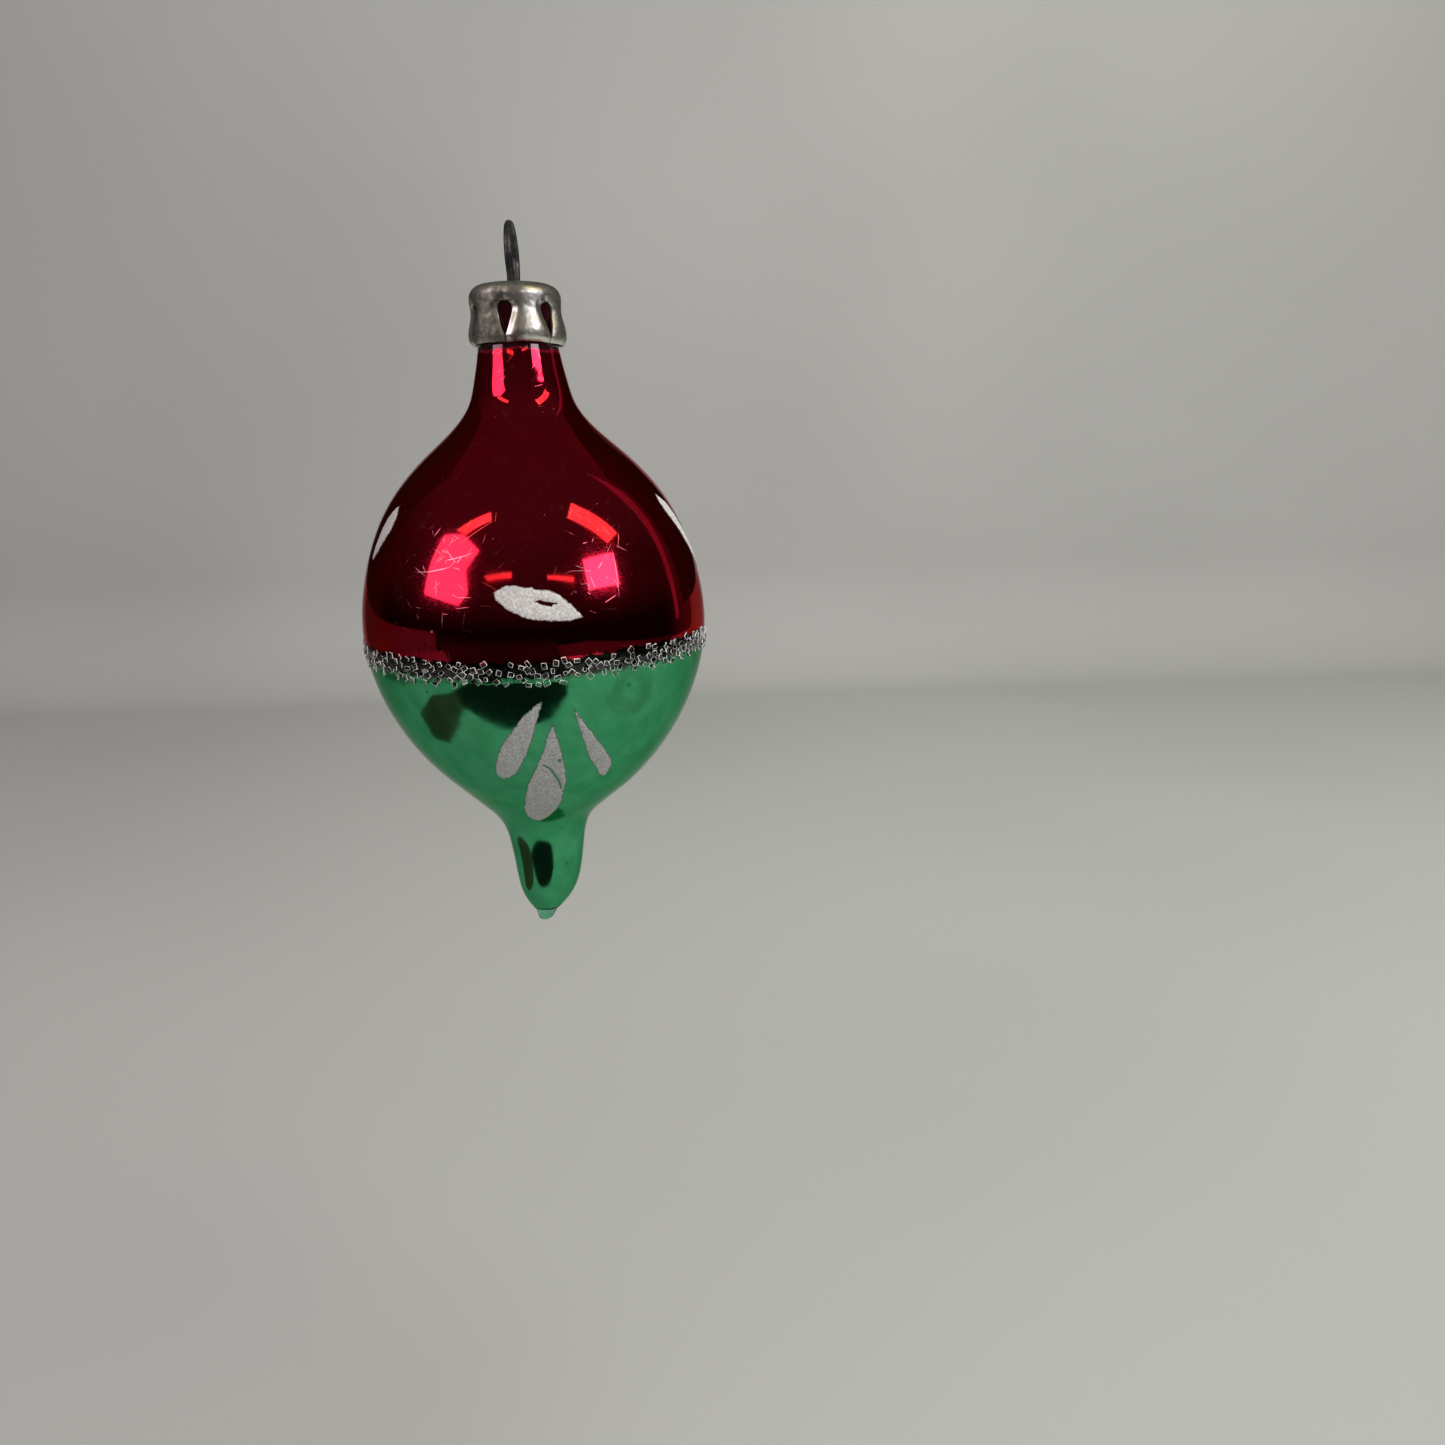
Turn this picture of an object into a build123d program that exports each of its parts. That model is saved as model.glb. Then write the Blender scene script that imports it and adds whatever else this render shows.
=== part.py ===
"""Blown-glass hanging ornament: a silvered teardrop bulb with a drawn spike, lacquered red over green,
with a glitter band, painted strokes, a pierced metal cap and a spring-wire hanger.

Row frame, millimetres: the origin is inside the top of the hanger's eye, where a hook bears; +Z is up,
along the bulb's axis, and +X is along the eye's axis, the way a hook's rod goes through.
The bulb and cap are drawn with heights counted from the girth, then lowered to the row frame.
"""

import os
from math import cos, radians, sin

from build123d import *

# Driving sizes
GIRTH_DROP = 49.4  # from the hanger eye's inside top down to the girth plane
GLASS_WALL = 0.65
LINING = 0.08  # mirror lining inside the glass
LACQUER = 0.10
PAINT = 0.14
ADHESIVE = 0.14

# The bulb's outline, radius and height above the girth
NECK_RADIUS = 4.70
NECK_TOP = 42.0
GIRTH_RADIUS = 21.5
SPIKE_RADIUS = 4.75
HOLLOW_BOTTOM = -36.4
OUTLINE = [
    (NECK_RADIUS, 37.0),  # foot of the straight neck
    (5.58, 32.0),
    (6.33, 29.5),
    (7.84, 27.25),
    (12.22, 23.2),
    (17.22, 17.4),
    (20.45, 9.7),
    (GIRTH_RADIUS, 2.0),
    (20.45, -4.3),
    (17.90, -10.3),
    (13.45, -16.4),
    (8.60, -21.0),
    (5.85, -24.0),
    (SPIKE_RADIUS, -28.0),
    (4.17, -32.0),
    (3.67, -34.0),
    (2.62, -36.0),
    (1.78, -37.1),  # where the solid nib begins
]
SECTIONS = 40  # rings that carry the loft from neck to spike, closer together towards its end

# The spike leans off the bulb's axis, as it was drawn by hand
ROOT_LEAN, ROOT_TOP, ROOT_FOOT = 0.80, -17.5, -24.5
END_LEAN, END_TOP, END_FOOT = 1.20, -29.0, -39.5
NIB_LENGTH = 2.05
NIB_RADII = (1.70, 1.33, 0.75)  # at its root, at its middle and at its tip

# Lacquer, adhesive and grains round the girth
COLOUR_LINE = 0.3  # height where the red stops and the green starts
LACQUER_TOP = 40.5
ADHESIVE_TOP, ADHESIVE_FOOT = 1.25, -1.75
GRAIN = (0.30, 0.66, 0.66)
GRAIN_STAND = 0.10
GRAINS_IN_ROW = 60
GRAIN_ROWS = (0.55, -0.75)

# Painted strokes. An azimuth counts from the front (-Y), turning towards +X; each outline starts at the
# stroke's tip and is given as the eye meets it, across and above the girth.
MOTIF_AZIMUTH = 10.5
SIDE_TURN = 80.0
STROKE_REACH = 40.0
LOZENGE = [
    (4.7, 5.5), (3.0, 7.4), (1.3, 8.5), (-1.2, 9.0), (-3.6, 9.2), (-4.8, 8.3),
    (-4.2, 7.4), (-2.9, 6.4), (-1.3, 5.7), (1.1, 5.3), (3.4, 5.2),
]
PETAL_LEFT = [
    (-0.4, -3.7), (-2.2, -5.0), (-3.8, -7.0), (-5.3, -9.2), (-6.1, -11.3), (-6.1, -13.5),
    (-5.4, -14.1), (-4.5, -13.7), (-3.2, -11.9), (-2.3, -9.8), (-1.6, -7.7),
]
PETAL_MIDDLE = [
    (0.6, -6.3), (-0.2, -8.5), (-0.8, -10.4), (-1.9, -13.0), (-2.7, -15.1), (-3.2, -17.5),
    (-2.9, -20.7), (-1.3, -22.2), (0.3, -20.8), (1.3, -17.6), (1.8, -14.1), (1.5, -11.0),
]
PETAL_RIGHT = [
    (3.0, -4.7), (3.2, -6.0), (3.8, -8.5), (4.6, -11.6), (5.5, -13.9), (6.3, -15.0),
    (7.1, -14.3), (7.3, -12.8), (6.6, -11.0), (5.3, -8.7), (4.0, -6.5),
]
LEFT_LEAF = [
    (5.3, 17.8), (6.2, 16.8), (6.4, 15.6), (5.9, 14.3), (5.1, 13.1), (4.2, 12.1),
    (3.5, 11.7), (3.2, 12.4), (3.4, 13.7), (3.6, 15.1), (4.1, 16.6),
]
RIGHT_LEAF = [
    (-4.9, 18.2), (-5.5, 16.7), (-4.8, 15.1), (-3.9, 13.6), (-2.9, 12.1), (-1.5, 10.6),
    (0.2, 9.1), (1.1, 8.6), (1.1, 9.6), (0.1, 11.2), (-1.0, 12.8), (-1.9, 14.2), (-2.5, 15.6), (-3.5, 17.2),
]

# Cap
CAP_SHEET = 0.30
CAP_TOP = 43.0
CAP_FLAT_RADIUS = 3.95
CAP_SHOULDER_RADIUS = 5.50
CAP_WAIST_RADIUS = 5.42
CAP_FLARE_RADIUS = 5.78
CAP_LIP_RADIUS = 5.36
CAP_FOOT = 36.1
SLOT_COUNT = 6
SLOT_AZIMUTH = -4.0
SLOT_WIDTH = 1.9
SLOT_CENTRE = 39.8
SLOT_POINT = 36.9
SLIT_WIDTH = 0.14

# Hanger wire
WIRE_RADIUS = 0.45
EYE_RADIUS = 3.50  # centreline
EYE_SWING = 30.0  # degrees the eye curls in past its widest
WAIST_RADIUS = 3.20
LEG_SPLAY = 2.0
LEG_LENGTH = 11.0
LEG_CURL_RADIUS = 1.0
LEG_CURL = 50.0
WIRE_HOLE_CLEARANCE = 0.20

to_row = Pos(0, 0, -GIRTH_DROP)


def smooth(value, start, end):
    """0 before start, 1 after end, and an even S between."""
    t = max(0.0, min(1.0, (value - start) / (end - start)))
    return t * t * (3 - 2 * t)


def lean(z):
    """How far the glass's own centre stands off the axis towards -X at height z."""
    end = max(0.0, (END_TOP - z) / (END_TOP - END_FOOT))
    return ROOT_LEAN * smooth(z, ROOT_TOP, ROOT_FOOT) + END_LEAN * end**2


def outline_rings(inset):
    """Radius and height of each loft ring, the outline moved inwards by inset along its normal."""
    edge = Spline([(r, z) for r, z in OUTLINE], tangents=[(0.05, -1), (-0.75, -1)])
    rings = [(NECK_RADIUS - inset, NECK_TOP), (NECK_RADIUS - inset, 39.8)]
    for i in range(SECTIONS):
        t = 1 - (1 - i / (SECTIONS - 1)) ** 1.4
        at, along = edge @ t, edge % t
        rings.append((at.X + along.Y * inset, at.Y - along.X * inset))
    return rings


def filled(inset, top=NECK_TOP, foot=None):
    """Solid inside the outline moved inwards by inset, with its top ring moved to top."""
    rings = outline_rings(inset)
    rings[0] = (rings[0][0], top)
    if foot is not None:
        rings = [(r, z) for r, z in rings if z > foot + 0.4]
        last_radius = rings[-1][0]
        rings.append((last_radius * 0.62, foot))
    wires = [
        Plane(origin=(-lean(z), 0, z)) * Circle(r)
        for r, z in rings
    ]
    return loft(wires)


def band(top, foot, radius=30.0):
    """A slab between two heights, to trim a skin with."""
    return Pos(0, 0, (top + foot) / 2) * Cylinder(radius, top - foot)


def nib():
    """The solid end where the glass was drawn off."""
    root, middle, tip = NIB_RADII
    z = OUTLINE[-1][1]
    heights = [(z + 0.3, root), (z - NIB_LENGTH * 0.36, middle), (z - NIB_LENGTH, tip)]
    body = loft([Plane(origin=(-lean(h), 0, h)) * Circle(r) for h, r in heights])
    return fillet(body.edges().sort_by(Axis.Z)[0], tip * 0.8)


def glass_shell():
    """The blown glass: neck, bulb, spike and nib in one."""
    hollow = filled(GLASS_WALL, top=NECK_TOP + 1, foot=HOLLOW_BOTTOM)
    return filled(0) - hollow + nib()


def mirror_lining():
    outer = filled(GLASS_WALL, top=NECK_TOP - 3, foot=HOLLOW_BOTTOM)
    inner = filled(GLASS_WALL + LINING, top=NECK_TOP, foot=HOLLOW_BOTTOM + 0.2)
    return outer - inner


def lacquer(top, foot):
    return (filled(-LACQUER) - filled(0)) & band(top, foot)


def adhesive_band():
    skin = filled(-LACQUER - ADHESIVE) - filled(-LACQUER)
    return skin & band(ADHESIVE_TOP, ADHESIVE_FOOT)


def glitter_grains():
    """Two rows of small tilted chips, each bedded a little way in the adhesive."""
    radius = GIRTH_RADIUS + LACQUER + ADHESIVE + GRAIN_STAND
    chips = []
    for row, height in enumerate(GRAIN_ROWS):
        for i in range(GRAINS_IN_ROW):
            turn = 360 / GRAINS_IN_ROW * (i + row / 2)
            wander = 0.25 * sin(2.4 * i)
            tip = Rot(37 * i, 9 * sin(1.7 * i + row), 9 * sin(2.9 * i))
            chips.append(Rot(0, 0, turn) * Pos(radius, 0, height + wander) * tip * Box(*GRAIN))
    return Compound(chips)


def facing(azimuth):
    """Plane through the axis, seen square on from that azimuth, its x running to the viewer's right."""
    a = radians(azimuth)
    return Plane(origin=(0, 0, 0), x_dir=(cos(a), sin(a), 0), z_dir=(sin(a), -cos(a), 0))


def stroke(azimuth, outline):
    """One brush stroke, its outline seen from that azimuth, lying on the lacquer."""
    face = make_face(Spline(outline + outline[:1]))
    return paint_skin & extrude(facing(azimuth) * face, STROKE_REACH)


def hanging_cap():
    """Pressed sheet cap with six keyhole slots, its tabs gathered in at the foot."""
    corner = CAP_SHOULDER_RADIUS - CAP_FLAT_RADIUS
    with BuildSketch(Plane.XZ) as section:
        with BuildLine():
            top = Line((0, CAP_TOP), (CAP_FLAT_RADIUS, CAP_TOP))
            shoulder = RadiusArc(top @ 1, (CAP_SHOULDER_RADIUS, CAP_TOP - corner), corner)
            skirt = Spline(
                shoulder @ 1,
                (CAP_WAIST_RADIUS, 39.9),
                (CAP_FLARE_RADIUS, 37.2),
                (CAP_LIP_RADIUS, CAP_FOOT),
                tangents=[(0, -1), (-1, -0.9)],
            )
            inner = Spline(
                (CAP_LIP_RADIUS - 0.28, CAP_FOOT + 0.2),
                (CAP_FLARE_RADIUS - CAP_SHEET, 37.3),
                (CAP_WAIST_RADIUS - CAP_SHEET, 39.9),
                (CAP_SHOULDER_RADIUS - CAP_SHEET, CAP_TOP - corner),
                tangents=[(1, 0.9), (0, 1)],
            )
            Line(skirt @ 1, inner @ 0)
            inside = (CAP_FLAT_RADIUS, CAP_TOP - CAP_SHEET)
            corner_arc = RadiusArc(inner @ 1, inside, -(corner - CAP_SHEET))
            under = Line(corner_arc @ 1, (0, CAP_TOP - CAP_SHEET))
            Line(under @ 1, (0, CAP_TOP))
        make_face()
    cap = revolve(section.sketch, Axis.Z)
    radius = SLOT_WIDTH / 2
    flank = radius * 0.88
    slot = Pos(0, SLOT_CENTRE) * Circle(radius)
    slot += make_face(
        Polyline(
            (-flank, SLOT_CENTRE - 0.36), (flank, SLOT_CENTRE - 0.36),
            (SLIT_WIDTH / 2, SLOT_POINT), (-SLIT_WIDTH / 2, SLOT_POINT),
            close=True,
        )
    )
    slit_foot = CAP_FOOT - 1
    slot += Pos(0, (SLOT_POINT + slit_foot) / 2) * Rectangle(SLIT_WIDTH, SLOT_POINT - slit_foot)
    for i in range(SLOT_COUNT):
        azimuth = SLOT_AZIMUTH + 360 / SLOT_COUNT * i
        cap -= extrude(facing(azimuth) * slot, 10)
    for side in (-1, 1):
        hole = Cylinder(WIRE_RADIUS + WIRE_HOLE_CLEARANCE, 2)
        cap -= Pos(0, side * wire_waist(), CAP_TOP) * hole
    return cap


def wire_waist():
    """Distance from the axis of each wire leg where it goes through the cap."""
    return EYE_RADIUS * cos(radians(EYE_SWING)) - WAIST_RADIUS * (
        cos(radians(LEG_SPLAY)) - cos(radians(EYE_SWING))
    )


def hanger_wire():
    """One spring wire: a round eye, pinched in at the cap, with two splayed legs inside the neck."""
    with BuildLine(Plane.YZ) as half:
        top = (0, WIRE_RADIUS)
        eye = JernArc(start=top, tangent=(1, 0), radius=EYE_RADIUS, arc_size=-(90 + EYE_SWING))
        waist = JernArc(eye @ 1, eye % 1, WAIST_RADIUS, EYE_SWING + LEG_SPLAY)
        leg = Line(waist @ 1, waist @ 1 + (waist % 1) * LEG_LENGTH)
        JernArc(leg @ 1, leg % 1, LEG_CURL_RADIUS, -LEG_CURL)
    one_side = sweep(Plane.XZ * Pos(0, WIRE_RADIUS) * Circle(WIRE_RADIUS), half.line)
    wire = one_side + mirror(one_side, Plane.XZ)
    return wire


def write(name, shape, place=to_row):
    export_step(place * shape, os.path.join("parts", name + ".step"))


os.makedirs("parts", exist_ok=True)
paint_skin = filled(-LACQUER - PAINT) - filled(-LACQUER)

write("glass_shell", glass_shell())
write("mirror_lining", mirror_lining())
write("red_lacquer", lacquer(LACQUER_TOP, COLOUR_LINE))
write("green_lacquer", lacquer(COLOUR_LINE, OUTLINE[-1][1]))
write("glitter_adhesive", adhesive_band())
write("glitter_grains", glitter_grains())

for side, turn in (("front", 0), ("back", 180)):
    azimuth = MOTIF_AZIMUTH + turn
    write(f"{side}_lozenge", stroke(azimuth, LOZENGE))
    write(f"{side}_petal_left", stroke(azimuth, PETAL_LEFT))
    write(f"{side}_petal_middle", stroke(azimuth, PETAL_MIDDLE))
    write(f"{side}_petal_right", stroke(azimuth, PETAL_RIGHT))
write("left_leaf", stroke(MOTIF_AZIMUTH - SIDE_TURN, LEFT_LEAF))
write("right_leaf", stroke(MOTIF_AZIMUTH + SIDE_TURN, RIGHT_LEAF))

write("cap", hanging_cap())
write("hanger_wire", hanger_wire(), Pos(0, 0, 0))
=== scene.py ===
"""Looks for a blown-glass hanging ornament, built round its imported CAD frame.

Laid out as an add-on: settings, shader groups, mesh code, one operator for each piece or group of like
pieces, one for the stage, and a sidebar panel. Shapes are worked out in millimetres, with heights counted
from the girth, and are written to the meshes in metres in the row frame.
"""

import math
import random

import bmesh
import bpy
import numpy as np
from bpy.props import FloatProperty, FloatVectorProperty, IntProperty, PointerProperty
from mathutils import Matrix, Vector, noise
from mathutils.geometry import delaunay_2d_cdt


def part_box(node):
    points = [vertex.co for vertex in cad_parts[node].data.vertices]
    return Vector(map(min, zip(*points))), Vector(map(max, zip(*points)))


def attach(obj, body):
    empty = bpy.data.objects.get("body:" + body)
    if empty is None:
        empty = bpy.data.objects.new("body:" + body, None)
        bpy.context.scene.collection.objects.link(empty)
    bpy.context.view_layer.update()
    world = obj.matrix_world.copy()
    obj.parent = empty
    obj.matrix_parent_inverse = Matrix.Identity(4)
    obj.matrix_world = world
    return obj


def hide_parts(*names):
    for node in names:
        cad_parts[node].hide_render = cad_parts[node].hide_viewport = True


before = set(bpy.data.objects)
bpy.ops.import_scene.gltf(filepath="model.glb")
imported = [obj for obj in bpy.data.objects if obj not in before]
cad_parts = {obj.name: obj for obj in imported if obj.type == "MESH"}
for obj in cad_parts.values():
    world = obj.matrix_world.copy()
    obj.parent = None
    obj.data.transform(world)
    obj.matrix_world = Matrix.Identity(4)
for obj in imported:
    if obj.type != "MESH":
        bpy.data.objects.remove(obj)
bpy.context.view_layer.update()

bl_info = {
    "name": "Hanging Glass Ornament",
    "version": (1, 0, 0),
    "blender": (4, 5, 0),
    "location": "3D View > Sidebar > Ornament",
    "description": "Builds the visible pieces of a silvered and lacquered glass ornament",
    "category": "Add Mesh",
}

MM = 0.001
NECK_TOP = 42.0
GIRTH_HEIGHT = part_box("glass_shell")[1].z / MM - NECK_TOP

# What every distance, every thickness and every colour in the settings has in common
DISTANCE = {"unit": "LENGTH", "subtype": "DISTANCE"}
THICKNESS = {**DISTANCE, "precision": 5}
COLOUR = {"min": 0, "max": 1, "size": 3, "subtype": "COLOR"}

# Radius and height of the glass, from the foot of the straight neck to the solid nib
GLASS_OUTLINE = [
    (4.70, 37.0), (5.58, 32.0), (6.33, 29.5), (7.84, 27.25), (12.22, 23.2), (17.22, 17.4),
    (20.45, 9.7), (21.50, 2.0), (20.45, -4.3), (17.90, -10.3), (13.45, -16.4), (8.60, -21.0),
    (5.85, -24.0), (4.75, -28.0), (4.17, -32.0), (3.67, -34.0), (2.62, -36.0), (1.78, -37.1),
]
NIB_PROFILE = [(1.70, -37.2), (1.56, -37.45), (1.38, -37.8), (1.22, -38.2), (1.08, -38.55), (0.90, -38.85),
               (0.62, -39.05), (0.30, -39.13)]
NIB_END = -39.15
# The fire-polished lip at the neck's top, from the inside out
LIP = [(4.12, 41.96), (4.22, 42.0), (4.52, 42.0), (4.64, 41.96)]
# How far under the neck's top the outside wall stops and the lip begins
LIP_DROP = 0.12
# The lowest point of the hollow, and the height where its wall gives way to its rounded foot
HOLLOW_FOOT = -36.4
HOLLOW_END = -35.6
# Where the outside wall gives way to the nib
SPIKE_END = -37.05
# How far the glass's centre leans: at the root of the spike, and further at its end
SPIKE_LEAN = 0.80
TIP_LEAN = 1.20
# Spacing of the rings along the outline
RING_STEP = 0.3
# The lacquer's face over the bare glass, for marks placed on it
COAT_FACE = 0.1
# A hair's breadth that keeps two skins from lying in one plane
SINK = 0.01
# The two lacquers meet at COLOUR_LINE; the red starts at LACQUER_TOP and the green stops at LACQUER_FOOT
COLOUR_LINE = 0.3
LACQUER_TOP = 40.5
LACQUER_FOOT = -37.1
LINING_TOP = 39.0
# Where the front strokes stand, and how far round from them the leaves are, in degrees
MOTIF_AZIMUTH = 10.5
SIDE_TURN = 80.0
# The glitter's line: its mean height, and how far it swings once and three times round
BAND_LEVEL = 0.15
BAND_SWING = 0.35
BAND_RIPPLE = 0.25

# Brush strokes as the eye meets them square on: across and above the girth, from the tip round
LOZENGE = [
    (4.7, 5.5), (3.0, 7.4), (1.3, 8.5), (-1.2, 9.0), (-3.6, 9.2), (-4.8, 8.3),
    (-4.2, 7.4), (-2.9, 6.4), (-1.3, 5.7), (1.1, 5.3), (3.4, 5.2),
]
PETAL_LEFT = [
    (-0.4, -3.7), (-2.2, -5.0), (-3.8, -7.0), (-5.3, -9.2), (-6.1, -11.3), (-6.1, -13.5),
    (-5.4, -14.1), (-4.5, -13.7), (-3.2, -11.9), (-2.3, -9.8), (-1.6, -7.7),
]
PETAL_MIDDLE = [
    (0.6, -6.3), (-0.2, -8.5), (-0.8, -10.4), (-1.9, -13.0), (-2.7, -15.1), (-3.2, -17.5),
    (-2.9, -20.7), (-1.3, -22.2), (0.3, -20.8), (1.3, -17.6), (1.8, -14.1), (1.5, -11.0),
]
PETAL_RIGHT = [
    (3.0, -4.7), (3.2, -6.0), (3.8, -8.5), (4.6, -11.6), (5.5, -13.9), (6.3, -15.0),
    (7.1, -14.3), (7.3, -12.8), (6.6, -11.0), (5.3, -8.7), (4.0, -6.5),
]
LEFT_LEAF = [
    (5.3, 17.8), (6.2, 16.8), (6.4, 15.6), (5.9, 14.3), (5.1, 13.1), (4.2, 12.1),
    (3.5, 11.7), (3.2, 12.4), (3.4, 13.7), (3.6, 15.1), (4.1, 16.6),
]
RIGHT_LEAF = [
    (-4.9, 18.2), (-5.5, 16.7), (-4.8, 15.1), (-3.9, 13.6), (-2.9, 12.1), (-1.5, 10.6),
    (0.2, 9.1), (1.1, 8.6), (1.1, 9.6), (0.1, 11.2), (-1.0, 12.8), (-1.9, 14.2),
    (-2.5, 15.6), (-3.5, 17.2),
]
# Bare places in the front's paint
LOZENGE_SCUFF = [
    (-0.36, 7.49), (0.19, 7.60), (0.56, 7.42), (1.97, 7.16), (1.47, 7.08), (1.34, 6.88),
    (0.92, 6.98), (0.19, 7.18),
]
PETAL_CRACK = [(-0.75, -12.15), (-0.05, -12.75), (0.55, -13.9), (0.98, -15.0), (1.12, -16.0)]
PETAL_CHIP = [(1.02, -11.45), (1.2, -11.55), (1.15, -11.85), (0.95, -11.75)]

# Heights of a keyhole slot above the girth: its top, the foot of its round part and its narrow end
SLOT_TOP = 40.75
SLOT_ROUND = 39.44
SLOT_NARROW = 36.9
# How far out the cap's flat top reaches before it rounds over
CAP_FACE_RADIUS = 3.95
# Painted light on each tab's face, in turn from the first slot: above 0 a painted highlight, below 0 painted
# shade
TAB_PAINTED_LIGHT = (0.55, 0.0, 0.20, -0.15, 0.25, -0.45)
# The two holes in the cap's top for the wire
HOLE_RADIUS = 0.65
HOLE_OFFSET = 2.604
HOLE_SIDES = 40

# The wire's bends: below the eye, at the waist and at the feet
EYE_PINCH = math.radians(30)
LEG_SPLAY = math.radians(2)
FOOT_TURN = math.radians(48)
WAIST_BEND = 3.2
LEG_LENGTH = 11.0
FOOT_BEND = 1.0
# How far each ring of the wire's rounded end stands out, by its share of the wire's radius
END_RINGS = {0.0: 0.14, 0.55: 0.12, 0.85: 0.07}


# Settings ----------------------------------------------------------------------------------------------


class GlassSettings(bpy.types.PropertyGroup):
    """Thicknesses and colours of the blown glass and its coats."""

    wall: FloatProperty(
        name="Glass wall", description="Thickness of the blown glass", default=0.65 * MM,
        min=0.2 * MM, max=1.5 * MM, **THICKNESS,
    )
    lining: FloatProperty(
        name="Silvering", description="Drawn thickness of the mirror lining", default=0.06 * MM,
        min=0.02 * MM, max=0.2 * MM, **THICKNESS,
    )
    lacquer: FloatProperty(
        name="Lacquer", description="Thickness of both lacquer coats", default=0.10 * MM,
        min=0.03 * MM, max=0.3 * MM, **THICKNESS,
    )
    red: FloatVectorProperty(
        name="Red lacquer", description="Colour the red lacquer gives the mirror under it",
        default=(0.62, 0.010, 0.036), **COLOUR,
    )
    green: FloatVectorProperty(
        name="Green lacquer", description="Colour the green lacquer gives the mirror under it",
        default=(0.045, 0.37, 0.150), **COLOUR,
    )
    nib: FloatVectorProperty(
        name="Nib tint", description="Tint of the unsilvered glass at the end of the spike",
        default=(0.15, 0.66, 0.38), **COLOUR,
    )


class PaintSettings(bpy.types.PropertyGroup):
    """The brushed strokes."""

    thickness: FloatProperty(
        name="Paint", description="Thickness of a brush stroke", default=0.12 * MM,
        min=0.03 * MM, max=0.3 * MM, **THICKNESS,
    )
    ragged: FloatProperty(
        name="Ragged edge", description="How far a stroke's edge wanders", default=0.10 * MM,
        min=0, max=0.4 * MM, **THICKNESS,
    )
    bright: FloatVectorProperty(
        name="Paint on red", description="Colour of the strokes on the red half",
        default=(0.60, 0.595, 0.58), **COLOUR,
    )
    # The same white paint as on the red half, made darker here as painted shade on the petals that face down
    shaded_paint: FloatVectorProperty(
        name="Paint on green in painted shade", description="Colour of the strokes on the green half",
        default=(0.39, 0.405, 0.39), **COLOUR,
    )


class GlitterSettings(bpy.types.PropertyGroup):
    """The band of glass grains round the girth."""

    grains: IntProperty(
        name="Grains", description="How many grains the band holds", default=400, min=50, max=900,
    )
    smallest: FloatProperty(
        name="Smallest grain", description="Side of the smallest grain", default=0.44 * MM,
        min=0.2 * MM, max=1.0 * MM, **THICKNESS,
    )
    largest: FloatProperty(
        name="Largest grain", description="Side of the largest grain", default=0.80 * MM,
        min=0.3 * MM, max=1.2 * MM, **THICKNESS,
    )
    half_height: FloatProperty(
        name="Half height", description="Half the height of the band", default=1.25 * MM,
        min=0.5 * MM, max=3.0 * MM, **THICKNESS,
    )
    seed: IntProperty(name="Scatter", description="Picks another scatter of the grains", default=11, min=0)


class CapSettings(bpy.types.PropertyGroup):
    """The pressed sheet cap."""

    sheet: FloatProperty(
        name="Sheet", description="Thickness of the cap's tinplate", default=0.22 * MM,
        min=0.1 * MM, max=0.3 * MM, **THICKNESS,
    )
    slots: IntProperty(name="Slots", description="Keyhole slots round the cap", default=6, min=4, max=10)
    first_slot: FloatProperty(
        name="First slot", description="Where the front slot stands, from the front",
        default=math.radians(-4), unit="ROTATION", subtype="ANGLE",
    )
    curl: FloatProperty(
        name="Slot curl", description="How far the metal is pressed in beside a slot", default=0.36 * MM,
        min=0, max=0.5 * MM, **THICKNESS,
    )
    metal: FloatVectorProperty(
        name="Tinplate", description="Colour of the clean metal", default=(0.68, 0.72, 0.62), **COLOUR,
    )
    patina: FloatVectorProperty(
        name="Patina", description="Colour of the tarnish", default=(0.22, 0.22, 0.18), **COLOUR,
    )


class WireSettings(bpy.types.PropertyGroup):
    """The spring wire that the ornament hangs from."""

    radius: FloatProperty(
        name="Wire radius", description="Half the wire's thickness", default=0.449 * MM,
        min=0.2 * MM, max=0.8 * MM, **THICKNESS,
    )
    eye: FloatProperty(
        name="Eye radius", description="Radius of the eye to the wire's centre", default=3.5 * MM,
        min=2.0 * MM, max=6.0 * MM, **THICKNESS,
    )
    turn: FloatProperty(
        name="Turn", description="How far the wire is turned in the cap's holes", default=math.radians(3),
        min=math.radians(-4), max=math.radians(4), unit="ROTATION", subtype="ANGLE",
    )
    steel: FloatVectorProperty(
        name="Steel", description="Colour of the oxidised wire", default=(0.085, 0.088, 0.092), **COLOUR,
    )


class StageSettings(bpy.types.PropertyGroup):
    """Floor, backdrop, lamps and camera."""

    drop: FloatProperty(
        name="Floor drop", description="How far the floor lies below the eye", default=0.20,
        min=0.1, max=2.0, **DISTANCE,
    )
    depth: FloatProperty(
        name="Backdrop", description="Distance from the ornament to the backdrop", default=0.74,
        min=0.3, max=5.0, **DISTANCE,
    )
    paper: FloatVectorProperty(
        name="Backdrop colour", description="Colour of the floor and backdrop", default=(0.462, 0.478, 0.460),
        **COLOUR,
    )
    card_distance: FloatProperty(
        name="Softbox distance", description="How far the softboxes stand from the ornament", default=1.6,
        min=0.5, max=4.0, **DISTANCE,
    )
    fill: FloatProperty(
        name="Fill", description="Power of the overhead fill lamp, in watts", default=5.4, min=0, max=100,
    )


# Shader groups -----------------------------------------------------------------------------------------


def node(tree, kind, inputs=None, **settings):
    """Adds a node. Inputs are keyed by socket name or number; a value may be another node's output."""
    made = tree.nodes.new(kind)
    for key, value in settings.items():
        setattr(made, key, value)
    for key, value in (inputs or {}).items():
        if isinstance(value, bpy.types.NodeSocket):
            tree.links.new(value, made.inputs[key])
        else:
            made.inputs[key].default_value = value
    return made


def maths(tree, operation, *values, clamp=False):
    inputs = dict(enumerate(values))
    return node(tree, "ShaderNodeMath", inputs, operation=operation, use_clamp=clamp).outputs[0]


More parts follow.
